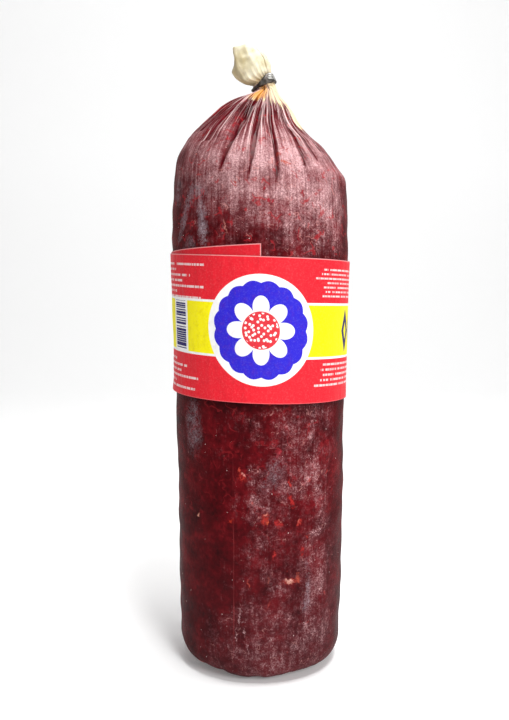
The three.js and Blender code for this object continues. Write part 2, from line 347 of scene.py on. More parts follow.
def makeCasing():
    azimuth = np.linspace(0, 2 * math.pi, casing["around"], endpoint=False)
    rings, t = skinRings(azimuth)
    height = rings[..., 2]
    reach = np.hypot(rings[..., 0], rings[..., 1])
    away = np.zeros(rings.shape[:2])
    groove = np.zeros_like(away)
    lipHighlights = np.zeros_like(away)
    nearest = np.full_like(away, 99.0)
    tColumn = t[:, None]
    onShoulder = tColumn > 0
    shoulderRows = np.where(t > 0)[0]

    for fold in folds:
        column = int(round(fold["end"] % 360 / 360 * len(azimuth))) % len(azimuth)
        endShare = np.interp(fold["height"], height[shoulderRows, column], t[shoulderRows])
        along = np.clip((tColumn - endShare) / (1 - endShare), 0, 1)
        centre = np.radians(mix(fold["end"], fold["start"], along))
        across = np.angle(np.exp(1j * (azimuth[None] - centre))) * np.maximum(reach, 3)
        across = across + 0.5 * np.sin(along * 9 + fold["end"]) * (1 - along)
        width = fold["width"] * (0.17 + 0.27 * np.sin(math.pi * np.clip(along, 0, 1) ** 0.7))
        depth = 0.75 * fold["depth"] * smoothStep(along, 0, 0.28) * (1 - 0.75 * along ** 1.5)
        shape = np.exp(-np.abs(across / width) ** 1.5) * onShoulder
        away -= depth * shape
        groove = np.maximum(groove, shape * smoothStep(along, 0, 0.12))
        # Pale lines along both lips of the fold are painted highlights, stronger on one side.
        lipHighlight = np.exp(-((across - 2.1 * width) / 0.35) ** 2)
        lipHighlight += 0.5 * np.exp(-((across + 2.1 * width) / 0.35) ** 2)
        lipHighlights = np.maximum(lipHighlights, lipHighlight * smoothStep(along, 0.02, 0.3) * onShoulder)
        fromFold = np.abs(across) + 60 * (1 - smoothStep(along, -0.001, 0.05)) + 60 * (1 - onShoulder)
        nearest = np.minimum(nearest, fromFold)

    # The meat pushes the film out between the folds.
    lobe = 1 - np.exp(-nearest / 4.5)
    lobeReach = smoothStep(tColumn, 0.0, 0.5) * (1 - smoothStep(tColumn, 0.72, 1.0))
    away += casing["lobeHeight"] * (np.clip(lobe, 0, 1) - 0.5) * lobeReach

    # Narrow raised pleats of slack film fan out from the clip.
    rng = np.random.default_rng(casing["seed"])
    ridgeHighlight = np.zeros_like(away)
    for _ in range(casing["pleats"]):
        start = rng.uniform(0, 360)
        endShare = rng.uniform(0.22, 0.88)
        along = np.clip((tColumn - endShare) / (1 - endShare), 0, 1)
        centre = np.radians(start + rng.uniform(-7, 7) * (1 - along))
        across = np.angle(np.exp(1j * (azimuth[None] - centre))) * np.maximum(reach, 4)
        width = rng.uniform(0.28, 0.6)
        lift = rng.uniform(0.25, 0.7) * smoothStep(along, 0, 0.35) * (1 - 0.5 * along)
        shape = np.exp(-(across / width) ** 2) * smoothStep(along, 0, 0.2) * onShoulder
        away += lift * shape
        ridgeHighlight = np.maximum(ridgeHighlight, shape)
    gathered = np.abs(np.sin(azimuth * 13 + 0.8 * np.sin(azimuth * 3) + 0.5 * np.sin(azimuth * 5)))[None]
    away += 0.55 * (0.5 - gathered) * smoothStep(tColumn, 0.86, 0.99)

    # Soft lumps in the wall, kept small where the label lies.
    underLabel = smoothStep(height, labelLow.z / mm - 6, labelLow.z / mm + 4)
    underLabel *= 1 - smoothStep(height, labelHigh.z / mm - 4, labelHigh.z / mm + 5)
    onWall = smoothStep(height, 3, 22) * (1 - 0.85 * underLabel) * (1 - smoothStep(tColumn, 0.6, 0.95))
    away += casing["wallLumps"] * (0.7 * lumps(rings, 42, 5) + 0.45 * lumps(rings, 15, 8)) * onWall

    # Small creases where the film turns under, and flattened places: a deep one at the lower left.
    crease = np.zeros_like(away)
    for _ in range(casing["footCreases"]):
        centre = np.radians(rng.uniform(0, 360))
        across = np.angle(np.exp(1j * (azimuth[None] - centre))) * np.maximum(reach, 8)
        top = rng.uniform(8, 24)
        fade = (1 - smoothStep(height, top * 0.4, top)) * (tColumn == 0) * smoothStep(reach, 16, 26)
        crease += rng.uniform(0.1, 0.35) * np.exp(-(across / rng.uniform(0.8, 2.4)) ** 2) * fade
    dent = np.zeros_like(away)
    for place in dents:
        across = np.angle(np.exp(1j * (azimuth[None] - math.radians(place["azimuth"])))) * reach
        up = (height - place["height"]) / place["tall"]
        dent += place["depth"] * np.exp(-(across / place["wide"]) ** 2 - up ** 2)
    away -= np.minimum(crease, 1.5) + dent * smoothStep(reach, 18, 30) * (tColumn == 0)

    outward = outwardOf(rings)
    rings = rings + outward * away[..., None]
    rings[..., 2] = np.where((reach < 36) & (height < 3), np.maximum(rings[..., 2], 0), rings[..., 2])

    turns = np.append(azimuth, 2 * math.pi)
    turns = np.where(turns > math.pi, turns - 2 * math.pi, turns)
    across = np.tile(turns * casing["girth"], (len(rings), 1))
    up = np.tile(height.mean(1)[:, None], (1, len(turns)))
    piece = ringMesh("casing_film", rings, uv=(across, up))

    # Values that the film's material reads.
    bearing = np.degrees(np.angle(np.exp(1j * azimuth)))[None]
    rightEdge = np.exp(-((bearing - 84) / 22) ** 4) * smoothStep(tColumn, 0.5, 0.6)
    rightFront = smoothStep(bearing, 0, 25) * (1 - smoothStep(bearing, 95, 120))
    rightFront = rightFront * smoothStep(tColumn, 0.6, 0.85)
    underClip = np.exp(-((bearing + 14) / 27) ** 2) * smoothStep(tColumn, 0.68, 0.86)
    behind = smoothStep(np.abs(bearing), 110, 150) * smoothStep(tColumn, 0.8, 0.92)
    cream = np.maximum.reduce([rightEdge, 0.9 * rightFront, underClip, behind])
    addValues(piece, "soaked", smoothStep(underClip, 0.1, 0.6) * (1 - rightFront))
    addValues(piece, "groove", groove * (1 - cream))
    addValues(piece, "ridgeHighlight", ridgeHighlight)
    addValues(piece, "lipHighlights", lipHighlights)
    addValues(piece, "cream", cream)
    addValues(piece, "gather", smoothStep(tColumn, 0.1, 0.95) * np.ones_like(away))
    addValues(piece, "lobe", np.clip(lobe, 0, 1) * lobeReach)
    addValues(piece, "hazeAndPaintedLight", hazeAndPaintedLightOf(rings, bearing, tColumn))
    wound = -np.degrees(azimuth) % 360
    outerWound = np.where(wound + 360 < label["wound"], wound + 360, wound)
    below = (np.minimum(labelTop(wound), labelTop(outerWound)) - label["height"])[None] - height
    # A painted shadow band just under the label's lower edge.
    addValues(piece, "shaded", np.exp(-(np.maximum(below, 0) / 3.4) ** 2) * (below > -6))
    addValues(piece, "wrap", np.stack([np.sin(azimuth)[None] * casing["girth"] + 0 * height,
                                       -np.cos(azimuth)[None] * casing["girth"] + 0 * height,
                                       height.mean(1, keepdims=True) + 0 * height], 2))
    return piece, rings, t


# Tuft: loose film above the clip. Each row is one section from the clip up to the open mouth, and its
# points go round by the left fold, the front fold, the front, the right front fold, the right edge,
# and the back. They are (right, up, back) from the clip's centre.
tuft = dict(
    around=132, rows=52, film=0.22,
    sections=[
        [(-4.6, -1.9, 0), (-3.4, -1.0, -2.7), (0, 1.0, -3.6),
         (3.0, 2.7, -2.6), (4.5, 3.6, 0), (0, 1.0, 3.6)],
        [(-5.4, -0.8, 0), (-3.8, 0.4, -2.9), (-0.6, 2.4, -3.8),
         (3.0, 4.4, -2.8), (4.4, 5.4, 0), (-0.6, 2.6, 3.6)],
        [(-12.0, 0.9, 0.4), (-8.8, 1.0, -4.8), (-3.2, 4.8, -5.8),
         (2.6, 7.8, -3.6), (4.2, 8.2, 0), (-4, 4.6, 4.2)],
        [(-17.4, 6.6, 1.6), (-12.4, 6.6, -4.4), (-5.4, 9.6, -6.2),
         (1.4, 11.6, -3.8), (3.6, 11.4, 0), (-6, 9, 4.2)],
        [(-16.0, 12.4, 2.2), (-15.2, 12.0, -2.6), (-8, 14.6, -5.6),
         (-0.4, 15.6, -3.6), (1.6, 15.2, 0.6), (-8, 13.4, 3.6)],
        [(-17.0, 19.6, 1.8), (-16.4, 20.2, -1.0), (-10, 20.7, -3.6),
         (-4.4, 20.4, -2.6), (-2.8, 19.4, 0.8), (-10, 20.2, 2.4)],
    ],
)


def sectionRing(corners, count):
    corners = np.array(corners, float)
    place = np.arange(count) / count * len(corners)
    index = place.astype(int)
    share = (place - index)[:, None]
    before, here = corners[index - 1], corners[index]
    after, far = corners[(index + 1) % len(corners)], corners[(index + 2) % len(corners)]
    straight = mix(here, after, share)
    curved = here + share * (after - before) / 2 + share ** 2 * (before - 2.5 * here + 2 * after - far / 2)
    curved += share ** 3 * (1.5 * here - 1.5 * after + (far - before) / 2)
    return mix(straight, curved, 0.4)  # between flat panels with folds and a round bag


def makeTuft():
    rings = np.array([sectionRing(corners, tuft["around"]) for corners in tuft["sections"]])
    outer = smoothLine(rings, tuft["rows"])
    outer = outer[..., [0, 2, 1]]  # to right, back, up
    up = np.linspace(0, 1, tuft["rows"])[:, None]
    angle = np.linspace(0, 2 * math.pi, tuft["around"], endpoint=False)[None]
    creases = 0.5 - np.abs(lumps(outer, 9, 21))
    gathers = np.abs(np.sin(angle * 9 + 1.5 * np.sin(angle * 2))) - 0.5
    away = 0.35 * creases * smoothStep(up, 0.25, 0.6)
    away = away + 0.12 * lumps(outer, 4.5, 4) * smoothStep(up, 0.2, 0.5)
    cornerCount = len(tuft["sections"][0])
    corner = angle / (2 * math.pi) * cornerCount
    away -= 0.9 * np.exp(-((corner - 3.0) / 0.09) ** 2) * smoothStep(up, 0.15, 0.4)
    away -= 0.9 * gathers * (1 - smoothStep(up, 0.15, 0.75))
    mouth = smoothStep(up, 0.82, 1.0)
    outer[..., 2] += mouth * (0.2 * np.sin(angle * 3 + 1) + 0.08 * np.sin(angle * 7))
    outer = outer + tuftOutward(outer) * away[..., None]
    inner = (outer - tuftOutward(outer) * tuft["film"])[int(tuft["rows"] * 0.2):][::-1]
    rings = np.concatenate([outer, inner]) + clipCentre
    piece = ringMesh("casing_tuft", rings)
    share = np.concatenate([up[:, 0], up[::-1, 0][:len(inner)]])[:, None]
    addValues(piece, "up", np.tile(share, (1, tuft["around"])))
    # 0 is the left fold, and 3 is the right front fold.
    corner = np.arange(tuft["around"])[None] / tuft["around"] * cornerCount
    # The panel from the left fold to the front fold is marked for painted shade.
    addValues(piece, "leftPanelShade", smoothStep(corner, 0, 0.1) * (1 - smoothStep(corner, 0.8, 1.05)) + 0 * share)
    # Two creases, at the right front fold and more faintly at the front fold, are marked for painted shade.
    crease = np.exp(-((corner - 3.0) / 0.07) ** 2) + 0.5 * np.exp(-((corner - 1.05) / 0.06) ** 2)
    addValues(piece, "crease", crease * smoothStep(share, 0.15, 0.4))
    return piece


def tuftOutward(rings):
    normal = outwardOf(rings)
    middle = rings.mean(1, keepdims=True)
    facing = np.sign((normal * (rings - middle)).sum(2).mean())
    return normal * facing


# Meat filling: one pressed mass that fills the film. It takes every nth column and row of the casing.
filling = dict(
    columns=4, rows=3, clearance=0.4, firstRow=5, lastShare=0.9,
    wet=0.35, dry=0.65, relief=0.0015,
)


def makeFilling(rings, t):
    inside = rings[:, ::filling["columns"]]
    keep = np.where((t < filling["lastShare"]) & (np.arange(len(t)) > filling["firstRow"]))[0]
    keep = keep[::filling["rows"]]
    inside = inside - outwardOf(inside) * filling["clearance"]
    return ringMesh("meat_filling_mass", inside[keep])


# Label: the strip is a flat tube of paper, so that it has an outer side, an inner side and cut edges.
def makeLabel():
    wound = np.linspace(0, label["wound"], label["steps"] + 1)[:, None]
    up = np.linspace(0, label["height"], label["rows"] + 1)[None]
    height = labelTop(wound) - label["height"] + up
    azimuth = -np.radians(wound)
    girth = casing["girth"]
    base = np.stack([np.sin(azimuth) * girth + 0 * up, -np.cos(azimuth) * girth + 0 * up, height], 2)
    lift = label["lift"] + wound / 360 * label["layer"] + 0 * up
    # The strip bellies away from the meat between the places where it clings.
    outerTurn = smoothStep(wound, 300, 360)
    lift += (0.16 + 0.16 * lumps(base, 30, 12)) * (0.4 + 0.6 * outerTurn)
    edge = np.abs(up / label["height"] - 0.5) * 2
    lift += 0.35 * edge ** 6 * (0.3 + 0.7 * np.clip(lumps(base, 38, 3), 0, 1))
    lift += 0.7 * smoothStep(label["height"] - up, label["height"] - 8, label["height"]) * outerTurn
    lift += 1.2 * smoothStep(wound, label["wound"] - 9, label["wound"]) ** 2  # the free end stands off
    layers = []
    for depth in (label["paper"], 0):
        radius = wallRadius(height) + lift + depth
        layers.append(np.stack([radius * np.sin(azimuth), -radius * np.cos(azimuth), height], 2))
    rings = np.concatenate([layers[0], layers[1][:, ::-1]], 1)
    right = -(wound - 360) * math.pi / 180 * label["printRadius"]
    across = np.tile(right, (1, rings.shape[1] + 1))
    upRing = np.concatenate([up, up[:, ::-1], up[:, :1]], 1)
    piece = ringMesh("paper_label_strip", rings, uv=(across, np.tile(upRing, (len(wound), 1))))
    columns = rings.shape[1]
    back = np.zeros(len(piece.data.polygons), np.int32)
    quads = np.arange(label["steps"] * columns)
    back[:len(quads)] = (quads % columns) >= label["rows"]
    back[len(quads):] = 1
    piece.data.polygons.foreach_set("material_index", back)
    piece.data.set_sharp_from_angle(angle=math.radians(50))
    return piece


# Clips: flat aluminium wire, bent round the gathers and pressed shut.
upperClip = dict(halfWide=6.5, halfDeep=5.3, wire=2.3, bendWidth=6.0, endWidth=1.5, lean=30.0, seed=3)
lowerClip = dict(halfWide=5.0, halfDeep=5.0, wire=2.0, bendWidth=3.2, endWidth=2.6, lean=0.0, seed=9)


def makeClip(name, clip, centre):
    steps, sides = 150, 28
    turn = np.linspace(math.radians(184), math.radians(536), steps)[:, None]  # from end to end by the bend
    aroundWire = np.linspace(0, 2 * math.pi, sides, endpoint=False)[None]
    bend = (1 + np.cos(turn)) / 2  # 1 at the bend on the right, 0 at the ends on the left
    width = mix(clip["endWidth"], clip["bendWidth"], smoothStep(bend, 0.0, 1.0))
    closing = np.sqrt(np.clip(1 - (np.abs(turn - 2 * math.pi) / math.radians(176)) ** 40, 0.12, 1))
    square = 0.55
    along = np.sign(np.cos(aroundWire)) * np.abs(np.cos(aroundWire)) ** square * width / 2 * closing
    out = np.sign(np.sin(aroundWire)) * np.abs(np.sin(aroundWire)) ** square * clip["wire"] / 2 * closing
    out = out * (1 - 0.25 * (along / np.maximum(width / 2, 0.1)) ** 2)
    radiusX = clip["halfWide"] + out
    radiusY = clip["halfDeep"] + out
    skew = 0.35 * np.sin(turn * 2)
    points = np.stack([radiusX * np.cos(turn), -radiusY * np.sin(turn), along + skew], 2)
    points += (0.10 * lumps(points, 3.5, clip["seed"]))[..., None] * outwardOf(points)
    lean = math.radians(clip["lean"])
    x = points[..., 0] * math.cos(lean) - points[..., 2] * math.sin(lean)
    z = points[..., 0] * math.sin(lean) + points[..., 2] * math.cos(lean)
    rings = np.stack([x, points[..., 1], z], 2) + centre
    return ringMesh(name, rings)


# Cellulose casing, extruded as a clear tube and shrunk on as the meat dried: a satin film, clouded in
# patches by salt and fat, over dark red mince. The eye sees flecks of fat, fibres and dry streaks.
# The grain of the cloudy film is finer than this in life, and is drawn as coarse as it must be to show.
film = dict(
    darkMeat="#2e080b", redMeat="#4d090f", brightMeat="#6e1118",
    darkFleck="#8a1a1c", fleck="#c23a26", paleFleck="#e8a48c", fibre="#c98782", vein="#a3262c",
    # Of these, the last two are painted shade low down and a painted shadow under the label.
    hazeAndPaintedLight="#8e5257", paleHaze="#deb0b2", coldHaze="#a89aa3", dull="#3a2225", labelShadow="#1c0406",
    # These are painted shade in the folds and pleat valleys, and painted highlight on crests and lips.
    foldSideShade="#4a0813", foldDeepShade="#22030a", pleatShadeRed="#5a0a16", highlightPink="#f3d2d1",
    cream="#f5e0b8", orange="#cf8a34", seam="#93383a", speck="#e9d3d0",
    blotchSize=15, minceSize=2.4, fleckSpacing=10, curlSize=5, curlSpacing=4.5, veinSize=8, veinSpacing=6,
    raggedSize=2.5, cloudSize=12, sandSize=2.6, grainSize=0.8, speckSpacing=3,
    streaks=((1.3, 30), (5.0, 60)),  # width and length
    hazeCover=0.8, veinCover=0.68, relief=0.0004, roughness=0.48, gloss=0.03, seamAzimuth=-18,
)

# Pieces of meat and fat that show through the clear places, and painted highlights on some of them. wide
# and tall are half sizes.
meatMarksAndHighlights = [
    dict(azimuth=-12, height=117, wide=2.2, tall=3.6, turn=20, colour="#b0322c"),
    dict(azimuth=-14, height=121, wide=1.2, tall=1.8, turn=0, colour="#cc4a3a"),
    dict(azimuth=2.5, height=94, wide=2.6, tall=4.6, turn=-25, colour="#c03c34"),
    dict(azimuth=4.0, height=92, wide=1.1, tall=2.2, turn=-15, colour="#d85a40"),
    dict(azimuth=11.5, height=91, wide=3.4, tall=2.4, turn=-40, colour="#b83434"),
    dict(azimuth=20, height=103, wide=1.8, tall=6.4, turn=25, colour="#b8302e"),
    dict(azimuth=26, height=91, wide=3.2, tall=2.0, turn=50, colour="#b83832"),
    dict(azimuth=11.5, height=130, wide=2.4, tall=2.4, turn=0, colour="#b83a44"),
    dict(azimuth=-20, height=92, wide=2.2, tall=1.0, turn=20, colour="#a8301f"),
    dict(azimuth=20, height=59, wide=8.0, tall=2.0, turn=6, colour="#b8443a"),
    dict(azimuth=25, height=60, wide=1.8, tall=3.4, turn=15, colour="#c05542"),
    dict(azimuth=19, height=59, wide=3.4, tall=1.5, turn=-8, colour="#f6c4b2"),
    # Small pale marks beside four flecks are painted highlights on them.
    dict(azimuth=3.2, height=96.5, wide=0.6, tall=1.8, turn=-30, colour="#dd9080"),
    dict(azimuth=12.5, height=92.5, wide=1.6, tall=0.5, turn=-50, colour="#cf7a70"),
    dict(azimuth=25.5, height=92, wide=0.5, tall=1.5, turn=-20, colour="#d88878"),
    dict(azimuth=-11, height=118.5, wide=0.6, tall=1.6, turn=20, colour="#dd8f86"),
    dict(azimuth=19, height=113, wide=0.8, tall=3.0, turn=10, colour="#c03c38"),
    dict(azimuth=9, height=74, wide=1.2, tall=3.4, turn=-20, colour="#b43230"),
    dict(azimuth=28, height=75, wide=1.0, tall=3.4, turn=0, colour="#b43230"),
    dict(azimuth=5, height=60, wide=0.6, tall=2.8, turn=0, colour="#b05a50"),
    dict(azimuth=-8, height=58, wide=0.7, tall=4.0, turn=8, colour="#c05044"),
    dict(azimuth=5, height=46, wide=0.8, tall=3.4, turn=-20, colour="#b04844"),
    dict(azimuth=-50, height=298, wide=3.4, tall=1.7, turn=40, colour="#b02c1e"),
    dict(azimuth=16, height=283, wide=5.0, tall=1.9, turn=-14, colour="#dc5c38"),
    dict(azimuth=12, height=288, wide=2.2, tall=1.2, turn=10, colour="#b4453a"),
    dict(azimuth=-26, height=295, wide=3.4, tall=0.7, turn=-30, colour="#b5323a"),
    dict(azimuth=2, height=269, wide=2.6, tall=0.9, turn=35, colour="#b5323a"),
    dict(azimuth=-15, height=272, wide=2.4, tall=0.8, turn=-25, colour="#c0453c"),
    dict(azimuth=26, height=267, wide=1.2, tall=3.6, turn=10, colour="#b5323a"),
    dict(azimuth=-22, height=250, wide=0.8, tall=4.4, turn=12, colour="#d58a80"),
    dict(azimuth=6, height=262, wide=2.6, tall=1.2, turn=0, colour="#b5283a"),
]

# Clouded places with a clearer shape than the soft patches.
hazeMarks = [
    dict(azimuth=-14.5, height=38, wide=0.5, tall=6, turn=0, amount=1.3),
    dict(azimuth=-12, height=36, wide=3.0, tall=0.45, turn=20, amount=1.3),
    dict(azimuth=-11, height=31, wide=0.5, tall=5, turn=14, amount=1.1),
    dict(azimuth=-16.5, height=29, wide=0.5, tall=6, turn=-4, amount=1.1),
    dict(azimuth=-9.5, height=23, wide=0.5, tall=5, turn=20, amount=1.0),
    dict(azimuth=-13, height=43, wide=2.6, tall=0.45, turn=-30, amount=1.2),
    dict(azimuth=37, height=122, wide=4.6, tall=6, turn=-20, amount=0.5),
    dict(azimuth=39, height=84, wide=6.0, tall=3.6, turn=0, amount=0.5),
    dict(azimuth=7, height=54, wide=3.0, tall=7, turn=12, amount=0.4),
    dict(azimuth=-4, height=118, wide=8.0, tall=10, turn=20, amount=0.3),
    dict(azimuth=-9, height=94, wide=6.0, tall=9, turn=-15, amount=0.3),
    dict(azimuth=32, height=138, wide=7.0, tall=4, turn=30, amount=0.4),
    dict(azimuth=40, height=105, wide=7.0, tall=12, turn=0, amount=0.2),
]

# Dry, greyish bloom: two streaks that meet above the label on the left, and streaks lower down.
coldMarks = [
    dict(azimuth=-50, height=141, wide=9.0, tall=20, turn=0, amount=0.5),
    dict(azimuth=33, height=55, wide=2.2, tall=20, turn=3, amount=0.6),
    dict(azimuth=31, height=43, wide=3.6, tall=8, turn=0, amount=0.6),
    dict(azimuth=8, height=117, wide=8.0, tall=14, turn=-20, amount=0.35),
    dict(azimuth=-56, height=256, wide=4.4, tall=19, turn=-24, amount=0.75),
    dict(azimuth=-39, height=252, wide=4.6, tall=17, turn=8, amount=0.75),
    dict(azimuth=-66, height=268, wide=7.0, tall=10, turn=0, amount=0.45),
    dict(azimuth=-44, height=269, wide=9.0, tall=4, turn=-10, amount=0.4),
    dict(azimuth=-50, height=240, wide=7.0, tall=6, turn=0, amount=0.5),
]


# How much of a mark covers a place: 1 well inside its oval, and 0 outside it.
def markShare(tree, place, mark, softness):
    inOval = addNode(tree, "Mapping", {
        "Vector": place, "Location": (math.radians(mark["azimuth"]) * casing["girth"], mark["height"], 0),
        "Rotation": (0, 0, math.radians(mark["turn"])), "Scale": (mark["wide"], mark["tall"], 1)},
        vector_type="TEXTURE")
    distance = addNode(tree, "VectorMath", {0: inOval}, out="Value", operation="LENGTH")
    return addNode(tree, "MapRange", [distance, 1.0, 1.0 - softness])


def mincedMeat(tree, where):
    blotch = addNode(tree, "TexNoise",
                     {"Vector": where, "Scale": scaleOf(film["blotchSize"]), "Detail": 6.0,
                      "Roughness": 0.62})
    mince = addNode(tree, "TexNoise",
                    {"Vector": where, "Scale": scaleOf(film["minceSize"]), "Detail": 4.0})
    meatShade = addNode(tree, "Math", [mince, 0.45, blotch], operation="MULTIPLY_ADD")
    meat = addNode(tree, "ValToRGB", [meatShade],
                   stops=[(0.5, film["darkMeat"]), (0.72, film["redMeat"]), (0.95, film["brightMeat"])])

    # Flecks of fat: cells pulled about by noise, and only some of them are filled.
    pull = addNode(tree, "TexNoise", {"Vector": where, "Scale": scaleOf(3.5), "Detail": 3.0}, out="Color")
    pulled = addNode(tree, "VectorMath", {0: pull, "Scale": 0.007}, operation="SCALE")
    bent = addNode(tree, "VectorMath", {0: where, 1: pulled}, operation="ADD")
    cells = addNode(tree, "TexVoronoi", {"Vector": bent, "Scale": scaleOf(film["fleckSpacing"])})
    chosen = addNode(tree, "SeparateColor", {"Color": cells.node.outputs["Color"]})
    fleckSize = addNode(tree, "MapRange", [chosen, 0.62, 1.0, 0, 0.2])
    fleck = addNode(tree, "Math", [fleckSize, cells], operation="SUBTRACT")
    fleck = addNode(tree, "MapRange", [fleck, 0.0, 0.07, 0, 0.85])
    fleckColour = addNode(tree, "ValToRGB", [chosen.node.outputs["Green"]],
                          stops=[(0.0, film["darkFleck"]), (0.8, film["fleck"]),
                                 (1.0, film["paleFleck"])])
    meat = addNode(tree, "Mix", {0: fleck, 6: meat, 7: fleckColour}, out=2, data_type="RGBA")
    return meat, blotch, mince


def buildFilm():
    material, tree = newMaterial("cellulose casing over cured mince")
    where = addNode(tree, "TexCoord", out="Object")
    meat, _, mince = mincedMeat(tree, where)
    flat = addNode(tree, "UVMap", uv_map="millimetres")
    wrap = addNode(tree, "Attribute", out="Vector", attribute_name="wrap")
    ragged = addNode(tree, "TexNoise",
                     {"Vector": wrap, "Scale": 1 / film["raggedSize"], "Detail": 4.0, "Roughness": 0.65},
                     out="Color")
    offset = addNode(tree, "VectorMath", [ragged, (0.5, 0.5, 0.5)], operation="SUBTRACT")
    offset = addNode(tree, "VectorMath", {0: offset, "Scale": 6.0}, operation="SCALE")
    bentFlat = addNode(tree, "VectorMath", {0: flat, 1: offset}, operation="ADD")
    clearing = 0.0
    for mark in meatMarksAndHighlights:
        share = markShare(tree, bentFlat, mark, 0.7)
        seen = addNode(tree, "Math", [mince, 1.2, 0.1], operation="MULTIPLY_ADD")
        seen = addNode(tree, "Math", [share, seen], operation="MULTIPLY")
        meat = addNode(tree, "Mix", {0: seen, 6: meat, 7: mark["colour"]}, out=2, data_type="RGBA")
        clearing = addNode(tree, "Math", [clearing, share], operation="MAXIMUM")

    # Streaks and grain. A streak is noise drawn out along the sausage, so that it meets at the clip.
    streaks = []
    for width, length in film["streaks"]:
        drawnOut = addNode(tree, "Mapping", {"Vector": wrap, "Scale": (1 / width, 1 / width, 1 / length)})
        streaks.append(addNode(tree, "TexNoise", {"Vector": drawnOut, "Scale": 1.0, "Detail": 3.0,
                                                  "Roughness": 0.6}))
    streak, broadStreak = streaks
    grain = addNode(tree, "TexNoise",
                    {"Vector": where, "Scale": scaleOf(film["grainSize"]), "Detail": 3.0,
                     "Roughness": 0.75})
    sand = addNode(tree, "TexNoise",
                   {"Vector": where, "Scale": scaleOf(film["sandSize"]), "Detail": 6.0, "Roughness": 0.8})

    # Fibres: short curls along one level of a noise.
    curl = addNode(tree, "TexNoise", {"Vector": where, "Scale": scaleOf(film["curlSize"]), "Detail": 1.5})
    curlPlace = addNode(tree, "TexNoise",
                        {"Vector": where, "Scale": scaleOf(film["curlSpacing"]), "Detail": 0.0, "W": 3.0},
                        noise_dimensions="4D")
    curlLine = addNode(tree, "Math", [curl, 0.5], operation="SUBTRACT")
    curlLine = addNode(tree, "Math", [curlLine], operation="ABSOLUTE")
    curlLine = addNode(tree, "MapRange", [curlLine, 0.012, 0.004])
    fibre = addNode(tree, "MapRange", [curlPlace, 0.56, 0.64, 0, 0.6])
    fibre = addNode(tree, "Math", [curlLine, fibre], operation="MULTIPLY")

    # Haze: cloudy film with a sandy grain and dry streaks. It also carries painted light: highlights on the
    # shoulder and its lobes, and painted shade in the folds and at the sides.
    hazeAndPaintedLight = addNode(tree, "Attribute", out="Fac", attribute_name="hazeAndPaintedLight")
    cloud = addNode(tree, "TexNoise",
                    {"Vector": where, "Scale": scaleOf(film["cloudSize"]), "Detail": 8.0,
                     "Roughness": 0.7})
    position = addNode(tree, "SeparateXYZ", {0: flat})
    sandy = addNode(tree, "MapRange",
                    {"Value": position.node.outputs["Y"], "From Min": 225.0, "From Max": 270.0,
                     "To Min": 1.0, "To Max": 0.3})  # stretched film is smoother
    for value, gain in ((cloud, 1.7), (broadStreak, 0.5)):
        swing = addNode(tree, "Math", [value, gain, -0.5 * gain], operation="MULTIPLY_ADD")
        hazeAndPaintedLight = addNode(tree, "Math", [hazeAndPaintedLight, swing], operation="ADD")
    streaky = addNode(tree, "Math", [sandy, -0.8, 1.25], operation="MULTIPLY_ADD")
    sandier = addNode(tree, "Math", [sandy, 1.7], operation="MULTIPLY")
    for value, gain in ((streak, streaky), (sand, sandier)):
        swing = addNode(tree, "Math", [value, 0.5], operation="SUBTRACT")
        hazeAndPaintedLight = addNode(tree, "Math", [swing, gain, hazeAndPaintedLight], operation="MULTIPLY_ADD")
    for mark in hazeMarks:
        share = markShare(tree, bentFlat, mark, 0.9)
        hazeAndPaintedLight = addNode(tree, "Math", [share, mark["amount"], hazeAndPaintedLight], operation="MULTIPLY_ADD")
    # The lobes between the folds get a painted highlight: more haze towards their middles.
    lobe = addNode(tree, "Attribute", out="Fac", attribute_name="lobe")
    hazeAndPaintedLight = addNode(tree, "Math", [lobe, 0.35, hazeAndPaintedLight], operation="MULTIPLY_ADD")
    groove = addNode(tree, "Attribute", out="Fac", attribute_name="groove")
    hazeAndPaintedLight = addNode(tree, "Math", [groove, -0.9, hazeAndPaintedLight], operation="MULTIPLY_ADD")
    hazeAndPaintedLight = addNode(tree, "Math", [clearing, -0.5, hazeAndPaintedLight], operation="MULTIPLY_ADD")
    gather = addNode(tree, "Attribute", out="Fac", attribute_name="gather")

    # Veins: red threads where the film lies on a shred of meat, mostly high up.
    veinLine = addNode(tree, "TexNoise",
                       {"Vector": where, "Scale": scaleOf(film["veinSize"]), "Detail": 2.0, "W": 6.0},
                       noise_dimensions="4D")
    veinPlace = addNode(tree, "TexNoise",
                        {"Vector": where, "Scale": scaleOf(film["veinSpacing"]), "Detail": 0.0, "W": 9.0},
                        noise_dimensions="4D")
    vein = addNode(tree, "Math", [veinLine, 0.5], operation="SUBTRACT")
    vein = addNode(tree, "Math", [vein], operation="ABSOLUTE")
    vein = addNode(tree, "MapRange", [vein, 0.03, 0.008])
    veinPlace = addNode(tree, "MapRange", [veinPlace, 0.55, 0.63])
    highUp = addNode(tree, "MapRange", [position.node.outputs["Y"], 40.0, 250.0])
    for share in (veinPlace, highUp):
        vein = addNode(tree, "Math", [vein, share], operation="MULTIPLY")
    grainShare = addNode(tree, "MapRange", {"Value": grain, "From Min": 0.42, "From Max": 0.60,
                                            "To Min": -0.65, "To Max": 0.7})
    grainShare = addNode(tree, "Math", [grainShare, sandy, 1.0], operation="MULTIPLY_ADD")
    veilAndPaintedLight = addNode(tree, "MapRange", [hazeAndPaintedLight, 0.0, 1.0, 0, film["hazeCover"]])
    veilAndPaintedLight = addNode(tree, "Math", [veilAndPaintedLight, grainShare], operation="MULTIPLY")
    hazeLight = addNode(tree, "Math", [hazeAndPaintedLight, grain], operation="MULTIPLY")
    hazeAndPaintedLightColour = addNode(tree, "ValToRGB", [hazeLight],
                         stops=[(0.15, film["hazeAndPaintedLight"]), (0.55, film["paleHaze"])])
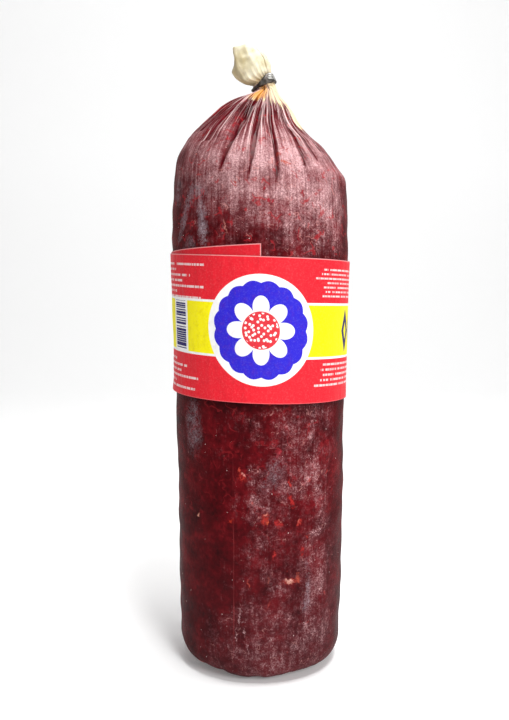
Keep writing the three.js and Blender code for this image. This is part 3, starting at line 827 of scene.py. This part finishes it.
    skin = addNode(tree, "Mix", {0: veilAndPaintedLight, 6: meat, 7: hazeAndPaintedLightColour}, out=2, data_type="RGBA")
    vein = addNode(tree, "Math", [vein, film["veinCover"]], operation="MULTIPLY")
    skin = addNode(tree, "Mix", {0: vein, 6: skin, 7: film["vein"]}, out=2, data_type="RGBA")
    cloudy = addNode(tree, "MapRange", [hazeAndPaintedLight, 0.0, 0.3])
    fibre = addNode(tree, "Math", [fibre, cloudy], operation="MULTIPLY")
    skin = addNode(tree, "Mix", {0: fibre, 6: skin, 7: film["fibre"]}, out=2, data_type="RGBA")
    broken = addNode(tree, "MapRange", [cloud, 0.36, 0.58])
    broken = addNode(tree, "Math", [broken, grainShare], operation="MULTIPLY")
    for mark in coldMarks:
        share = markShare(tree, bentFlat, mark, 0.9)
        bloom = addNode(tree, "Math", [broken, mark["amount"]], operation="MULTIPLY")
        bloom = addNode(tree, "Math", [share, bloom], operation="MULTIPLY")
        skin = addNode(tree, "Mix", {0: bloom, 6: skin, 7: film["coldHaze"]}, out=2, data_type="RGBA")

    # The deep folds show clean meat under painted shade: dark at their sides and near black at their
    # bottoms. Slack film makes fine lines near the clip: painted highlights on their crests and painted
    # shade between them.
    foldSideShade = addNode(tree, "MapRange", [groove, 0.4, 0.9, 0, 0.85])
    foldDeepShade = addNode(tree, "MapRange", [groove, 0.8, 1.0, 0, 0.8])
    skin = addNode(tree, "Mix", {0: foldSideShade, 6: skin, 7: film["foldSideShade"]}, out=2, data_type="RGBA")
    skin = addNode(tree, "Mix", {0: foldDeepShade, 6: skin, 7: film["foldDeepShade"]}, out=2, data_type="RGBA")
    # These lines are about 1.8 mm apart and 100 mm long.
    pleatPlace = addNode(tree, "Mapping", {"Vector": wrap, "Scale": (0.55, 0.55, 0.010)})
    pleat = addNode(tree, "TexNoise",
                    {"Vector": pleatPlace, "Scale": 1.0, "Detail": 4.0, "Roughness": 0.7})
    slack = addNode(tree, "MapRange", [gather, 0.04, 0.4])
    # Pale lines are painted highlights on the pleat crests, and dark lines are painted shade between them.
    pleatHighlight = addNode(tree, "MapRange", [pleat, 0.58, 0.64, 0, 0.8])
    pleatHighlight = addNode(tree, "Math", [pleatHighlight, slack], operation="MULTIPLY")
    pleatShade = addNode(tree, "MapRange", [pleat, 0.52, 0.43, 0, 0.88])
    pleatShade = addNode(tree, "Math", [pleatShade, slack], operation="MULTIPLY")
    skin = addNode(tree, "Mix", {0: pleatShade, 6: skin, 7: film["pleatShadeRed"]}, out=2, data_type="RGBA")
    skin = addNode(tree, "Mix", {0: pleatHighlight, 6: skin, 7: film["highlightPink"]}, out=2, data_type="RGBA")
    # Painted highlights along the crests of the raised pleats.
    ridgeHighlight = addNode(tree, "Attribute", out="Fac", attribute_name="ridgeHighlight")
    ridgeHighlight = addNode(tree, "MapRange", [ridgeHighlight, 0.82, 1.0, 0, 0.55])
    skin = addNode(tree, "Mix", {0: ridgeHighlight, 6: skin, 7: film["highlightPink"]}, out=2, data_type="RGBA")
    # Painted highlights along the lips of the deep folds.
    lipHighlights = addNode(tree, "Attribute", out="Fac", attribute_name="lipHighlights")
    lipHighlights = addNode(tree, "MapRange", [lipHighlights, 0.3, 1.0, 0, 0.75])
    lipHighlights = addNode(tree, "Math", [lipHighlights, streak], operation="MULTIPLY")
    skin = addNode(tree, "Mix", {0: lipHighlights, 6: skin, 7: film["highlightPink"]}, out=2, data_type="RGBA")

    # Seam: a fine line up the film, and white specks of salt. Low down the film gets painted shade, darker
    # and greyer towards the bottom, fading out towards the left.
    dull = addNode(tree, "MapRange", [position.node.outputs["Y"], 100.0, 0.0, 0, 0.45])
    rightward = addNode(tree, "MapRange", [position, -90.0, -10.0])
    dull = addNode(tree, "Math", [dull, rightward], operation="MULTIPLY")
    skin = addNode(tree, "Mix", {0: dull, 6: skin, 7: film["dull"]}, out=2, data_type="RGBA")
    seamPlace = math.radians(film["seamAzimuth"]) * casing["girth"]
    seam = addNode(tree, "Math", [position, seamPlace], operation="SUBTRACT")
    seam = addNode(tree, "Math", [seam], operation="ABSOLUTE")
    seam = addNode(tree, "MapRange", [seam, 0.45, 0.15])
    seamReach = addNode(tree, "Math", [position.node.outputs["Y"], 82.0, 66.0], operation="COMPARE")
    seamWear = addNode(tree, "MapRange", [streak, 0.4, 0.8, 0, 0.7])
    for share in (seamReach, seamWear):
        seam = addNode(tree, "Math", [seam, share], operation="MULTIPLY")
    skin = addNode(tree, "Mix", {0: seam, 6: skin, 7: film["seam"]}, out=2, data_type="RGBA")
    dots = addNode(tree, "TexVoronoi", {"Vector": where, "Scale": scaleOf(film["speckSpacing"])})
    dotChosen = addNode(tree, "SeparateColor", {"Color": dots.node.outputs["Color"]})
    dotSize = addNode(tree, "MapRange", [dotChosen, 0.6, 1.0, 0, 0.085])
    dots = addNode(tree, "Math", [dots, dotSize], operation="LESS_THAN")
    skin = addNode(tree, "Mix", {0: dots, 6: skin, 7: film["speck"]}, out=2, data_type="RGBA")

    # Empty film near the clip is cream, and orange where fat has soaked it.
    cream = addNode(tree, "Attribute", out="Fac", attribute_name="cream")
    torn = addNode(tree, "Math", [pleat, 7.0, -2.5], operation="MULTIPLY_ADD")
    creamEdge = addNode(tree, "Math", [cream, torn], operation="MULTIPLY")
    soaked = addNode(tree, "Attribute", out="Fac", attribute_name="soaked")
    dryness = addNode(tree, "Math", [soaked, -0.25, pleat], operation="MULTIPLY_ADD")
    creamColour = addNode(tree, "ValToRGB", [dryness],
                          stops=[(0.26, film["orange"]), (0.46, film["cream"])])
    creamEdge = addNode(tree, "MapRange", [creamEdge, 0.4, 0.7])
    skin = addNode(tree, "Mix", {0: creamEdge, 6: skin, 7: creamColour}, out=2, data_type="RGBA")

    # Under the label's lower edge the film gets a painted shadow: a dark band cast by the label.
    shaded = addNode(tree, "Attribute", out="Fac", attribute_name="shaded")
    shaded = addNode(tree, "Math", [shaded, 0.6], operation="MULTIPLY")
    skin = addNode(tree, "Mix", {0: shaded, 6: skin, 7: film["labelShadow"]}, out=2, data_type="RGBA")

    satin = addNode(tree, "Math", [gather, -0.2, film["roughness"]], operation="MULTIPLY_ADD")
    roughness = addNode(tree, "Math", [veilAndPaintedLight, 0.15, satin], operation="MULTIPLY_ADD")
    pleatHeight = addNode(tree, "Math", [gather, 3.0], operation="MULTIPLY")
    relief = addNode(tree, "Math", [sand, grain], operation="ADD")
    relief = addNode(tree, "Math", [pleat, pleatHeight, relief], operation="MULTIPLY_ADD")
    bump = addNode(tree, "Bump", {"Height": relief, "Strength": 0.5, "Distance": film["relief"]})
    shader = addNode(tree, "BsdfPrincipled", {"Base Color": skin, "Roughness": roughness, "Normal": bump,
                                              "IOR": 1.47, "Specular IOR Level": film["gloss"]})
    addNode(tree, "OutputMaterial", {"Surface": shader})
    return material


# The same film with nothing behind it: dry, cream and slightly see-through, with faint creases. Its left
# side panel and two creases are darkened with painted shade.
tuftFilm = dict(cream="#eaddbf", shade="#cfbf98", orange="#c99a5a", leftPanelShade="#a8926a", crease="#7d6136",
                roughness=0.5)


def buildTuftFilm():
    material, tree = newMaterial("empty cellulose casing, gathered")
    where = addNode(tree, "TexCoord", out="Object")
    blotch = addNode(tree, "TexNoise", {"Vector": where, "Scale": scaleOf(7), "Detail": 5.0})
    fine = addNode(tree, "TexNoise", {"Vector": where, "Scale": scaleOf(1.2), "Detail": 3.0})
    colour = addNode(tree, "ValToRGB", [blotch],
                     stops=[(0.36, tuftFilm["shade"]), (0.56, tuftFilm["cream"])])
    up = addNode(tree, "Attribute", out="Fac", attribute_name="up")
    low = addNode(tree, "MapRange", {"Value": up, "From Min": 0.15, "From Max": 0.42, "To Min": 0.55,
                                     "To Max": 0.0})
    colour = addNode(tree, "Mix", {0: low, 6: colour, 7: tuftFilm["orange"]}, out=2, data_type="RGBA")
    # Painted shade on the left side panel, which turns away from the light.
    leftPanelShade = addNode(tree, "Attribute", out="Fac", attribute_name="leftPanelShade")
    leftPanelShade = addNode(tree, "Math", [leftPanelShade, 0.5], operation="MULTIPLY")
    colour = addNode(tree, "Mix", {0: leftPanelShade, 6: colour, 7: tuftFilm["leftPanelShade"]}, out=2, data_type="RGBA")
    # Painted shade in the creases.
    crease = addNode(tree, "Attribute", out="Fac", attribute_name="crease")
    crease = addNode(tree, "Math", [crease, 0.75], operation="MULTIPLY")
    colour = addNode(tree, "Mix", {0: crease, 6: colour, 7: tuftFilm["crease"]}, out=2, data_type="RGBA")
    bump = addNode(tree, "Bump", {"Height": fine, "Strength": 0.3, "Distance": 0.0002})
    roughness = addNode(tree, "MapRange", {"Value": fine, "To Min": tuftFilm["roughness"] - 0.1,
                                           "To Max": tuftFilm["roughness"] + 0.15})
    shader = addNode(tree, "BsdfPrincipled",
                     {"Base Color": colour, "Roughness": roughness, "Normal": bump, "IOR": 1.47,
                      "Subsurface Weight": 0.35, "Subsurface Radius": (1.0, 0.75, 0.45),
                      "Subsurface Scale": 0.0015})
    addNode(tree, "OutputMaterial", {"Surface": shader})
    return material


# Pressed and cured mince, hidden by the film: wet dark red meat with white flecks of fat.
def buildMeat():
    material, tree = newMaterial("cured minced meat")
    where = addNode(tree, "TexCoord", out="Object")
    meat, blotch, _ = mincedMeat(tree, where)
    bump = addNode(tree, "Bump", {"Height": blotch, "Strength": 0.5, "Distance": filling["relief"]})
    roughness = addNode(tree, "MapRange", {"Value": blotch, "To Min": filling["wet"],
                                           "To Max": filling["dry"]})
    shader = addNode(tree, "BsdfPrincipled", {"Base Color": meat, "Roughness": roughness, "Normal": bump,
                                              "IOR": 1.4})
    addNode(tree, "OutputMaterial", {"Surface": shader})
    return material


# Coated label paper, offset printed: flat saturated inks with a soft sheen, and pale fibres at the cuts.
# Places across the strip are millimetres to the right of the front roundel, in the way the paper runs.
printing = dict(
    red="#e2202f", yellow="#fdf000", blue="#2c22c8", darkBlue="#191560", white="#f6f5f4",
    sliceRed="#d8303a", mottle="#8a1016", innerTurnShade="#a0101c", cutEdge="#f3c8c8",
    middle=38.5, bandHalf=13.7, lineWidth=1.2, coveredFrom=220.0, innerEnd=316.1,
    textInk=0.68, barsPlace=-53.5, barsHalf=6.2, barsUp=13.4, barsMargin=1.8, groundUp=14.6,
    lozenges=(60.5, 72.0, 83.5, 95.0), lozengeLean=0.45, lozengeSize=3.9, lozengeLine=1.7,
    roundels=(0.0, 158.0), discRadius=29.4, sliceShare=0.34, petalReach=0.28, discShare=0.84, scallop=0.05,
    roughness=0.5, gloss=0.15,
)

# Lines of small print, as plain dashes: the block's left and right ends, how high its lowest line lies,
# how many lines, and how far apart.
textBlocks = [
    dict(left=-80, right=-30, bottom=53.0, lines=7, pitch=2.95),
    dict(left=-80, right=-36, bottom=3.4, lines=6, pitch=3.0),
    dict(left=29, right=84, bottom=56.5, lines=7, pitch=2.35),
    dict(left=28, right=84, bottom=8.5, lines=5, pitch=2.8),
    dict(left=196, right=250, bottom=53.0, lines=7, pitch=2.95),
    dict(left=196, right=246, bottom=4.0, lines=6, pitch=2.8),
    dict(left=98, right=124, bottom=57.0, lines=6, pitch=2.6),
]


def buildLabelPrint():
    material, tree = newMaterial("coated label paper, printed")
    where = addNode(tree, "TexCoord", out="Object")
    flat = addNode(tree, "UVMap", uv_map="millimetres")
    place = addNode(tree, "SeparateXYZ", {0: flat})
    right, up = place, place.node.outputs["Y"]

    # Red ground and a yellow band between two white lines.
    offMiddle = addNode(tree, "Math", [up, printing["middle"]], operation="SUBTRACT")
    offMiddle = addNode(tree, "Math", [offMiddle], operation="ABSOLUTE")
    rampReach = 40.0  # a little more than half the strip's height
    bandShare = addNode(tree, "Math", [offMiddle, rampReach], operation="DIVIDE")
    lineStart = printing["bandHalf"] / rampReach
    lineEnd = (printing["bandHalf"] + printing["lineWidth"]) / rampReach
    colour = addNode(tree, "ValToRGB", [bandShare],
                     stops=[(0.0, printing["yellow"]), (lineStart, printing["white"]),
                            (lineEnd, printing["red"])])
    colour.node.color_ramp.interpolation = "CONSTANT"

    # Small print: rows of dashes, broken up by noise.
    for block in textBlocks:
        line = addNode(tree, "Math", [up, block["bottom"]], operation="SUBTRACT")
        line = addNode(tree, "Math", [line, block["pitch"]], operation="DIVIDE")
        rowNumber = addNode(tree, "Math", [line], operation="FLOOR")
        inRow = addNode(tree, "Math", [line], operation="FRACT")
        inRow = addNode(tree, "Math", [inRow, 0.3, 0.21], operation="COMPARE")
        inRows = addNode(tree, "Math", [line, block["lines"] / 2, block["lines"] / 2],
                         operation="COMPARE")
        wobble = addNode(tree, "Math", [rowNumber, block["left"]], operation="ADD")
        wobble = addNode(tree, "TexWhiteNoise", {"W": wobble}, noise_dimensions="1D")
        reach = (block["right"] - block["left"]) / 2
        centre = (block["right"] + block["left"]) / 2
        side = 1 if block["left"] < 0 else -1  # 1 where lines start together, -1 where they end together
        shortened = reach * (0.6 if side > 0 else 0.25)
        length = addNode(tree, "Math", [wobble, -shortened, reach], operation="MULTIPLY_ADD")
        slip = addNode(tree, "Math", [length, side, -side * reach], operation="MULTIPLY_ADD")
        fromMiddle = addNode(tree, "Math", [right, centre], operation="SUBTRACT")
        fromMiddle = addNode(tree, "Math", [fromMiddle, slip], operation="SUBTRACT")
        inLine = addNode(tree, "Math", [fromMiddle], operation="ABSOLUTE")
        inLine = addNode(tree, "Math", [inLine, length], operation="LESS_THAN")
        # Letters are about 0.8 mm wide and words about 4.5 mm, and each row has its own.
        letterPlace = addNode(tree, "Math", [rowNumber, 7.3], operation="MULTIPLY")
        letterPlace = addNode(tree, "CombineXYZ", {0: right, 1: letterPlace})
        letters = addNode(tree, "TexNoise", {"Vector": letterPlace, "Scale": 1.3, "Detail": 0.0},
                          noise_dimensions="2D")
        words = addNode(tree, "TexNoise", {"Vector": letterPlace, "Scale": 0.22, "Detail": 0.0},
                        noise_dimensions="2D")
        mask = addNode(tree, "Math", [letters, 0.4], operation="GREATER_THAN")
        words = addNode(tree, "Math", [words, 0.24], operation="GREATER_THAN")
        for share in (words, inRow, inRows, inLine, printing["textInk"]):
            mask = addNode(tree, "Math", [mask, share], operation="MULTIPLY")
        colour = addNode(tree, "Mix", {0: mask, 6: colour, 7: printing["white"]}, out=2, data_type="RGBA")

    # A block of plain bars at the left of the band, on white. The bars are about 1.2 mm wide.
    stripes = addNode(tree, "TexNoise", {"Vector": addNode(tree, "CombineXYZ", {1: up}), "Scale": 0.85,
                                         "Detail": 0.0}, noise_dimensions="2D")
    stripes = addNode(tree, "Math", [stripes, 0.46], operation="GREATER_THAN")
    for share, margin, halfHeight, ink in ((1.0, printing["barsMargin"], printing["groundUp"], "white"),
                                           (stripes, 0.0, printing["barsUp"], "darkBlue")):
        inWidth = addNode(tree, "Math", [right, printing["barsPlace"], printing["barsHalf"] + margin],
                          operation="COMPARE")
        inBlock = addNode(tree, "Math", [offMiddle, halfHeight], operation="LESS_THAN")
        inBlock = addNode(tree, "Math", [inWidth, inBlock], operation="MULTIPLY")
        inBlock = addNode(tree, "Math", [inBlock, share], operation="MULTIPLY")
        colour = addNode(tree, "Mix", {0: inBlock, 6: colour, 7: printing[ink]}, out=2,
                         data_type="RGBA")

    # Blue lozenges at the right of the band.
    for lozenge in printing["lozenges"]:
        sideways = addNode(tree, "Math", [right, lozenge], operation="SUBTRACT")
        sideways = addNode(tree, "Math", [sideways], operation="ABSOLUTE")
        outline = addNode(tree, "Math", [offMiddle, printing["lozengeLean"], sideways],
                          operation="MULTIPLY_ADD")
        outline = addNode(tree, "Math", [outline, printing["lozengeSize"], printing["lozengeLine"]],
                          operation="COMPARE")
        colour = addNode(tree, "Mix", {0: outline, 6: colour, 7: printing["darkBlue"]}, out=2,
                         data_type="RGBA")

    # Roundels: a slice with white petals on a scalloped disc, at the front and at the back. The slice's
    # dots are about 2.4 mm apart.
    for roundel in printing["roundels"]:
        fromCentre = addNode(tree, "Math", [right, roundel], operation="SUBTRACT")
        above = addNode(tree, "Math", [up, printing["middle"]], operation="SUBTRACT")
        offCentre = addNode(tree, "CombineXYZ", [fromCentre, above])
        distance = addNode(tree, "VectorMath", [offCentre], out="Value", operation="LENGTH")
        distance = addNode(tree, "Math", [distance, printing["discRadius"]], operation="DIVIDE")
        angle = addNode(tree, "Math", [above, fromCentre], operation="ARCTAN2")
        scallop = addNode(tree, "Math", [angle, 8.0], operation="MULTIPLY")
        scallop = addNode(tree, "Math", [scallop], operation="SINE")
        scallop = addNode(tree, "Math", [scallop], operation="ABSOLUTE")
        scallopEdge = addNode(tree, "Math", [scallop, printing["scallop"], printing["discShare"]],
                              operation="MULTIPLY_ADD")
        petal = addNode(tree, "Math", [angle, 4.0], operation="MULTIPLY")
        petal = addNode(tree, "Math", [petal], operation="COSINE")
        petal = addNode(tree, "Math", [petal], operation="ABSOLUTE")
        petal = addNode(tree, "Math", [petal, 0.6], operation="POWER")
        petalEdge = addNode(tree, "Math", [petal, printing["petalReach"], printing["sliceShare"]],
                            operation="MULTIPLY_ADD")
        for edge, ink in ((1.0, "white"), (scallopEdge, "blue"), (petalEdge, "white"),
                          (printing["sliceShare"], "sliceRed")):
            inside = addNode(tree, "Math", [distance, edge], operation="LESS_THAN")
            colour = addNode(tree, "Mix", {0: inside, 6: colour, 7: printing[ink]}, out=2,
                             data_type="RGBA")
        fat = addNode(tree, "TexVoronoi", {"Vector": offCentre, "Scale": 0.42}, voronoi_dimensions="2D")
        fat = addNode(tree, "Math", [fat, 0.3], operation="LESS_THAN")
        inSlice = addNode(tree, "Math", [distance, printing["sliceShare"] - 0.02], operation="LESS_THAN")
        fat = addNode(tree, "Math", [fat, inSlice], operation="MULTIPLY")
        colour = addNode(tree, "Mix", {0: fat, 6: colour, 7: printing["white"]}, out=2, data_type="RGBA")

    # Ink over paper grain, mottled and creased, in grains as coarse as they need to be to show. The cut
    # edges are pale, where the ink has split off with the fibres.
    grain = addNode(tree, "TexNoise",
                    {"Vector": where, "Scale": scaleOf(0.9), "Detail": 3.0, "Roughness": 0.7})
    mottle = addNode(tree, "TexNoise",
                     {"Vector": where, "Scale": scaleOf(3.5), "Detail": 5.0, "Roughness": 0.7})
    paleGrain = addNode(tree, "MapRange", [grain, 0.5, 0.8, 0, 0.06])
    mottle = addNode(tree, "MapRange", [mottle, 0.5, 0.75, 0, 0.18])
    # The inner turn, under the outer one, is darkened with painted shade.
    innerTurnShade = addNode(tree, "Math", [right, printing["coveredFrom"]], operation="GREATER_THAN")
    innerTurnShade = addNode(tree, "Math", [innerTurnShade, 0.3], operation="MULTIPLY")
    colour = addNode(tree, "Mix", {0: paleGrain, 6: colour, 7: printing["white"]}, out=2,
                     data_type="RGBA")
    colour = addNode(tree, "Mix", {0: mottle, 6: colour, 7: printing["mottle"]}, out=2, data_type="RGBA")
    colour = addNode(tree, "Mix", {0: innerTurnShade, 6: colour, 7: printing["innerTurnShade"]}, out=2,
                     data_type="RGBA")
    # Creases run up the strip, about 6 mm wide and 33 mm long.
    crosswise = addNode(tree, "Mapping", {"Vector": flat, "Scale": (0.16, 0.03, 1)})
    crease = addNode(tree, "TexNoise", {"Vector": crosswise, "Scale": 1.0, "Detail": 4.0},
                     noise_dimensions="2D")
    lowerEdge = addNode(tree, "Math", [up, 0.4], operation="LESS_THAN")
    lowerEdge = addNode(tree, "Math", [lowerEdge, 0.3], operation="MULTIPLY")
    cutEdge = addNode(tree, "Math", [up, label["height"] - 0.5], operation="GREATER_THAN")
    cutEdge = addNode(tree, "Math", [cutEdge, lowerEdge], operation="MAXIMUM")
    innerEnd = addNode(tree, "Math", [right, printing["innerEnd"]], operation="GREATER_THAN")
    cutEdge = addNode(tree, "Math", [cutEdge, innerEnd], operation="MAXIMUM")
    cutEdge = addNode(tree, "Math", [cutEdge, 0.45], operation="MULTIPLY")
    colour = addNode(tree, "Mix", {0: cutEdge, 6: colour, 7: printing["cutEdge"]}, out=2,
                     data_type="RGBA")
    relief = addNode(tree, "Math", [crease, 6.0, grain], operation="MULTIPLY_ADD")
    bump = addNode(tree, "Bump", {"Height": relief, "Strength": 0.4, "Distance": 0.0003})
    roughness = addNode(tree, "MapRange", {"Value": grain, "To Min": printing["roughness"] - 0.1,
                                           "To Max": printing["roughness"] + 0.15})
    shader = addNode(tree, "BsdfPrincipled",
                     {"Base Color": colour, "Roughness": roughness, "Normal": bump, "IOR": 1.5,
                      "Specular IOR Level": printing["gloss"]})
    addNode(tree, "OutputMaterial", {"Surface": shader})
    return material


# The uncoated back and the cut edges of the same paper: matt, off-white and fibrous.
paperBack = dict(shade="#d8cfc8", pale="#f3efec", fibreSize=0.8)


def buildPaperBack():
    material, tree = newMaterial("label paper, uncoated back")
    where = addNode(tree, "TexCoord", out="Object")
    fibre = addNode(tree, "TexNoise",
                    {"Vector": where, "Scale": scaleOf(paperBack["fibreSize"]), "Detail": 4.0})
    colour = addNode(tree, "ValToRGB", [fibre],
                     stops=[(0.3, paperBack["shade"]), (0.7, paperBack["pale"])])
    bump = addNode(tree, "Bump", {"Height": fibre, "Strength": 0.3, "Distance": 0.0001})
    roughness = addNode(tree, "MapRange", {"Value": fibre, "To Min": 0.75, "To Max": 0.95})
    shader = addNode(tree, "BsdfPrincipled",
                     {"Base Color": colour, "Roughness": roughness, "Normal": bump})
    addNode(tree, "OutputMaterial", {"Surface": shader})
    return material


# Soft aluminium wire, drawn and then crimped: dull grey oxide, with bright metal on the upper right of the
# upper clip, partly where the tool rubbed and partly a painted highlight.
aluminium = dict(dull="#6d6763", bright="#d9d8d2", dark="#3c3733", roughness=0.48)


def buildAluminium():
    material, tree = newMaterial("crimped aluminium wire")
    where = addNode(tree, "TexCoord", out="Object")
    blotch = addNode(tree, "TexNoise", {"Vector": where, "Scale": scaleOf(3.0), "Detail": 4.0})
    squashed = addNode(tree, "Mapping", {"Vector": where, "Scale": (0.25, 0.25, 1.6)})
    scratch = addNode(tree, "TexNoise", {"Vector": squashed, "Scale": scaleOf(0.7), "Detail": 3.0})
    colour = addNode(tree, "ValToRGB", [blotch],
                     stops=[(0.36, aluminium["dark"]), (0.6, aluminium["dull"])])
    place = addNode(tree, "SeparateXYZ", {0: where})
    clipMiddle = clipCentre[2] * mm
    # Bright metal at the upper right is partly scuffing and partly a painted highlight.
    scuffAndHighlight = addNode(tree, "MapRange", [place, clipHigh.x - 0.0075, clipHigh.x - 0.003])
    higher = addNode(tree, "MapRange", [place.node.outputs["Z"], clipMiddle + 0.0005, clipMiddle + 0.002])
    scuffAndHighlight = addNode(tree, "Math", [scuffAndHighlight, higher], operation="MULTIPLY")
    scuffAndHighlight = addNode(tree, "Math", [scuffAndHighlight, scratch], operation="MULTIPLY")
    scuffAndHighlight = addNode(tree, "MapRange", [scuffAndHighlight, 0.36, 0.5])
    colour = addNode(tree, "Mix", {0: scuffAndHighlight, 6: colour, 7: aluminium["bright"]}, out=2, data_type="RGBA")
    roughness = addNode(tree, "MapRange", {"Value": scratch, "To Min": aluminium["roughness"] - 0.15,
                                           "To Max": aluminium["roughness"] + 0.2})
    bump = addNode(tree, "Bump", {"Height": scratch, "Strength": 0.4, "Distance": 0.0002})
    shader = addNode(tree, "BsdfPrincipled",
                     {"Base Color": colour, "Metallic": 1.0, "Roughness": roughness, "Normal": bump})
    addNode(tree, "OutputMaterial", {"Surface": shader})
    return material


# Make the pieces and give them their materials.
filmPiece, skin, shoulderShare = makeCasing()
filmPiece.data.materials.append(buildFilm())
tuftPiece = makeTuft()
tuftPiece.data.materials.append(buildTuftFilm())
print("casing made,", len(filmPiece.data.polygons) + len(tuftPiece.data.polygons), "faces")

fillingPiece = makeFilling(skin, shoulderShare)
fillingPiece.data.materials.append(buildMeat())
print("filling made")

labelPiece = makeLabel()
labelPiece.data.materials.append(buildLabelPrint())
labelPiece.data.materials.append(buildPaperBack())
print("label made")

lowerCentre = np.array([0, 0, (casing["stubTip"] + casing["dimple"]) / 2])
upperPiece = makeClip("upper_clip_wire", upperClip, clipCentre)
lowerPiece = makeClip("lower_clip_wire", lowerClip, lowerCentre)
wire = buildAluminium()
for piece in (upperPiece, lowerPiece):
    piece.data.materials.append(wire)
print("clips made")

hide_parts("casing")
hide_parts("meat_filling")
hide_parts("paper_label")
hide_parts("upper_clip")
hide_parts("lower_clip")
for piece, slotName in ((filmPiece, "casing_film"), (tuftPiece, "casing_film"),
                        (fillingPiece, "cured_meat"), (labelPiece, "label_paper"),
                        (upperPiece, "clip_aluminium"), (lowerPiece, "clip_aluminium")):
    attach(piece, "root")


# Studio: a pale floor that curves up into a wall behind, and soft light from above and the right.
studio = dict(width=6.0, front=-2.5, back=1.1, bend=0.5, wallHeight=2.6, colour="#f6f6f6", glow=0.13,
              air=0.26)
softboxes = [
    dict(name="overhead_softbox", place=(0.25, -0.1, 1.3), aim=(0, 0, 0.25), side=0.7, power=9),
    dict(name="small_top_softbox", place=(0.15, -0.5, 1.2), aim=(0, 0, 0.3), side=0.16, power=5),
    dict(name="front_right_softbox", place=(0.72, -1.2, 0.85), aim=(0, 0, 0.18), side=0.6, power=11.5),
    dict(name="backdrop_softbox", place=(0, 0.5, 1.9), aim=(0, 1.5, 0.5), side=1.2, power=7),
]
view = dict(lens=43.3, sensor=36, place=(-0.0034, -0.5, 0.224), down=5.6)


def makeStudio():
    turn = np.linspace(0, math.pi / 2, 16)
    back = np.concatenate([[studio["front"], 0], studio["back"] + studio["bend"] * np.sin(turn),
                           [studio["back"] + studio["bend"]]])
    up = np.concatenate([[0, 0], studio["bend"] * (1 - np.cos(turn)), [studio["wallHeight"]]])
    points = [(x, y, z) for y, z in zip(back, up) for x in (-studio["width"] / 2, studio["width"] / 2)]
    faces = [(2 * k, 2 * k + 1, 2 * k + 3, 2 * k + 2) for k in range(len(back) - 1)]
    mesh = bpy.data.meshes.new("studio_sweep")
    mesh.from_pydata(points, [], faces)
    mesh.shade_smooth()
    sweep = bpy.data.objects.new("studio_sweep", mesh)
    bpy.context.scene.collection.objects.link(sweep)
    material, tree = newMaterial("matt white studio paper, lit from behind")
    shader = addNode(tree, "BsdfPrincipled",
                     {"Base Color": studio["colour"], "Roughness": 0.9, "Specular IOR Level": 0.1,
                      "Emission Color": "#ffffff", "Emission Strength": studio["glow"]})
    addNode(tree, "OutputMaterial", {"Surface": shader})
    sweep.data.materials.append(material)


def addSoftbox(name, place, aim, side, power):
    light = bpy.data.lights.new(name, "AREA")
    light.shape = "DISK"
    light.size = side
    light.energy = power
    lamp = bpy.data.objects.new(name, light)
    bpy.context.scene.collection.objects.link(lamp)
    lamp.location = place
    direction = np.array(aim) - np.array(place)
    lamp.rotation_mode = "QUATERNION"
    lamp.rotation_quaternion = Vector(direction).to_track_quat("-Z", "Y")
    lamp.visible_camera = False


makeStudio()
for softbox in softboxes:
    addSoftbox(**softbox)

world = bpy.data.worlds.new("studio_air")
bpy.context.scene.world = world
world.use_nodes = True
world.node_tree.nodes["Background"].inputs["Color"].default_value = (1, 1, 1, 1)
world.node_tree.nodes["Background"].inputs["Strength"].default_value = studio["air"]
bpy.context.scene.view_settings.view_transform = "Standard"
print("studio made")

camera = bpy.data.objects.new("camera", bpy.data.cameras.new("camera"))
bpy.context.scene.collection.objects.link(camera)
camera.data.lens = view["lens"]
camera.data.sensor_width = view["sensor"]
camera.location = view["place"]
camera.rotation_euler = (math.radians(90 - view["down"]), 0, 0)
bpy.context.scene.camera = camera
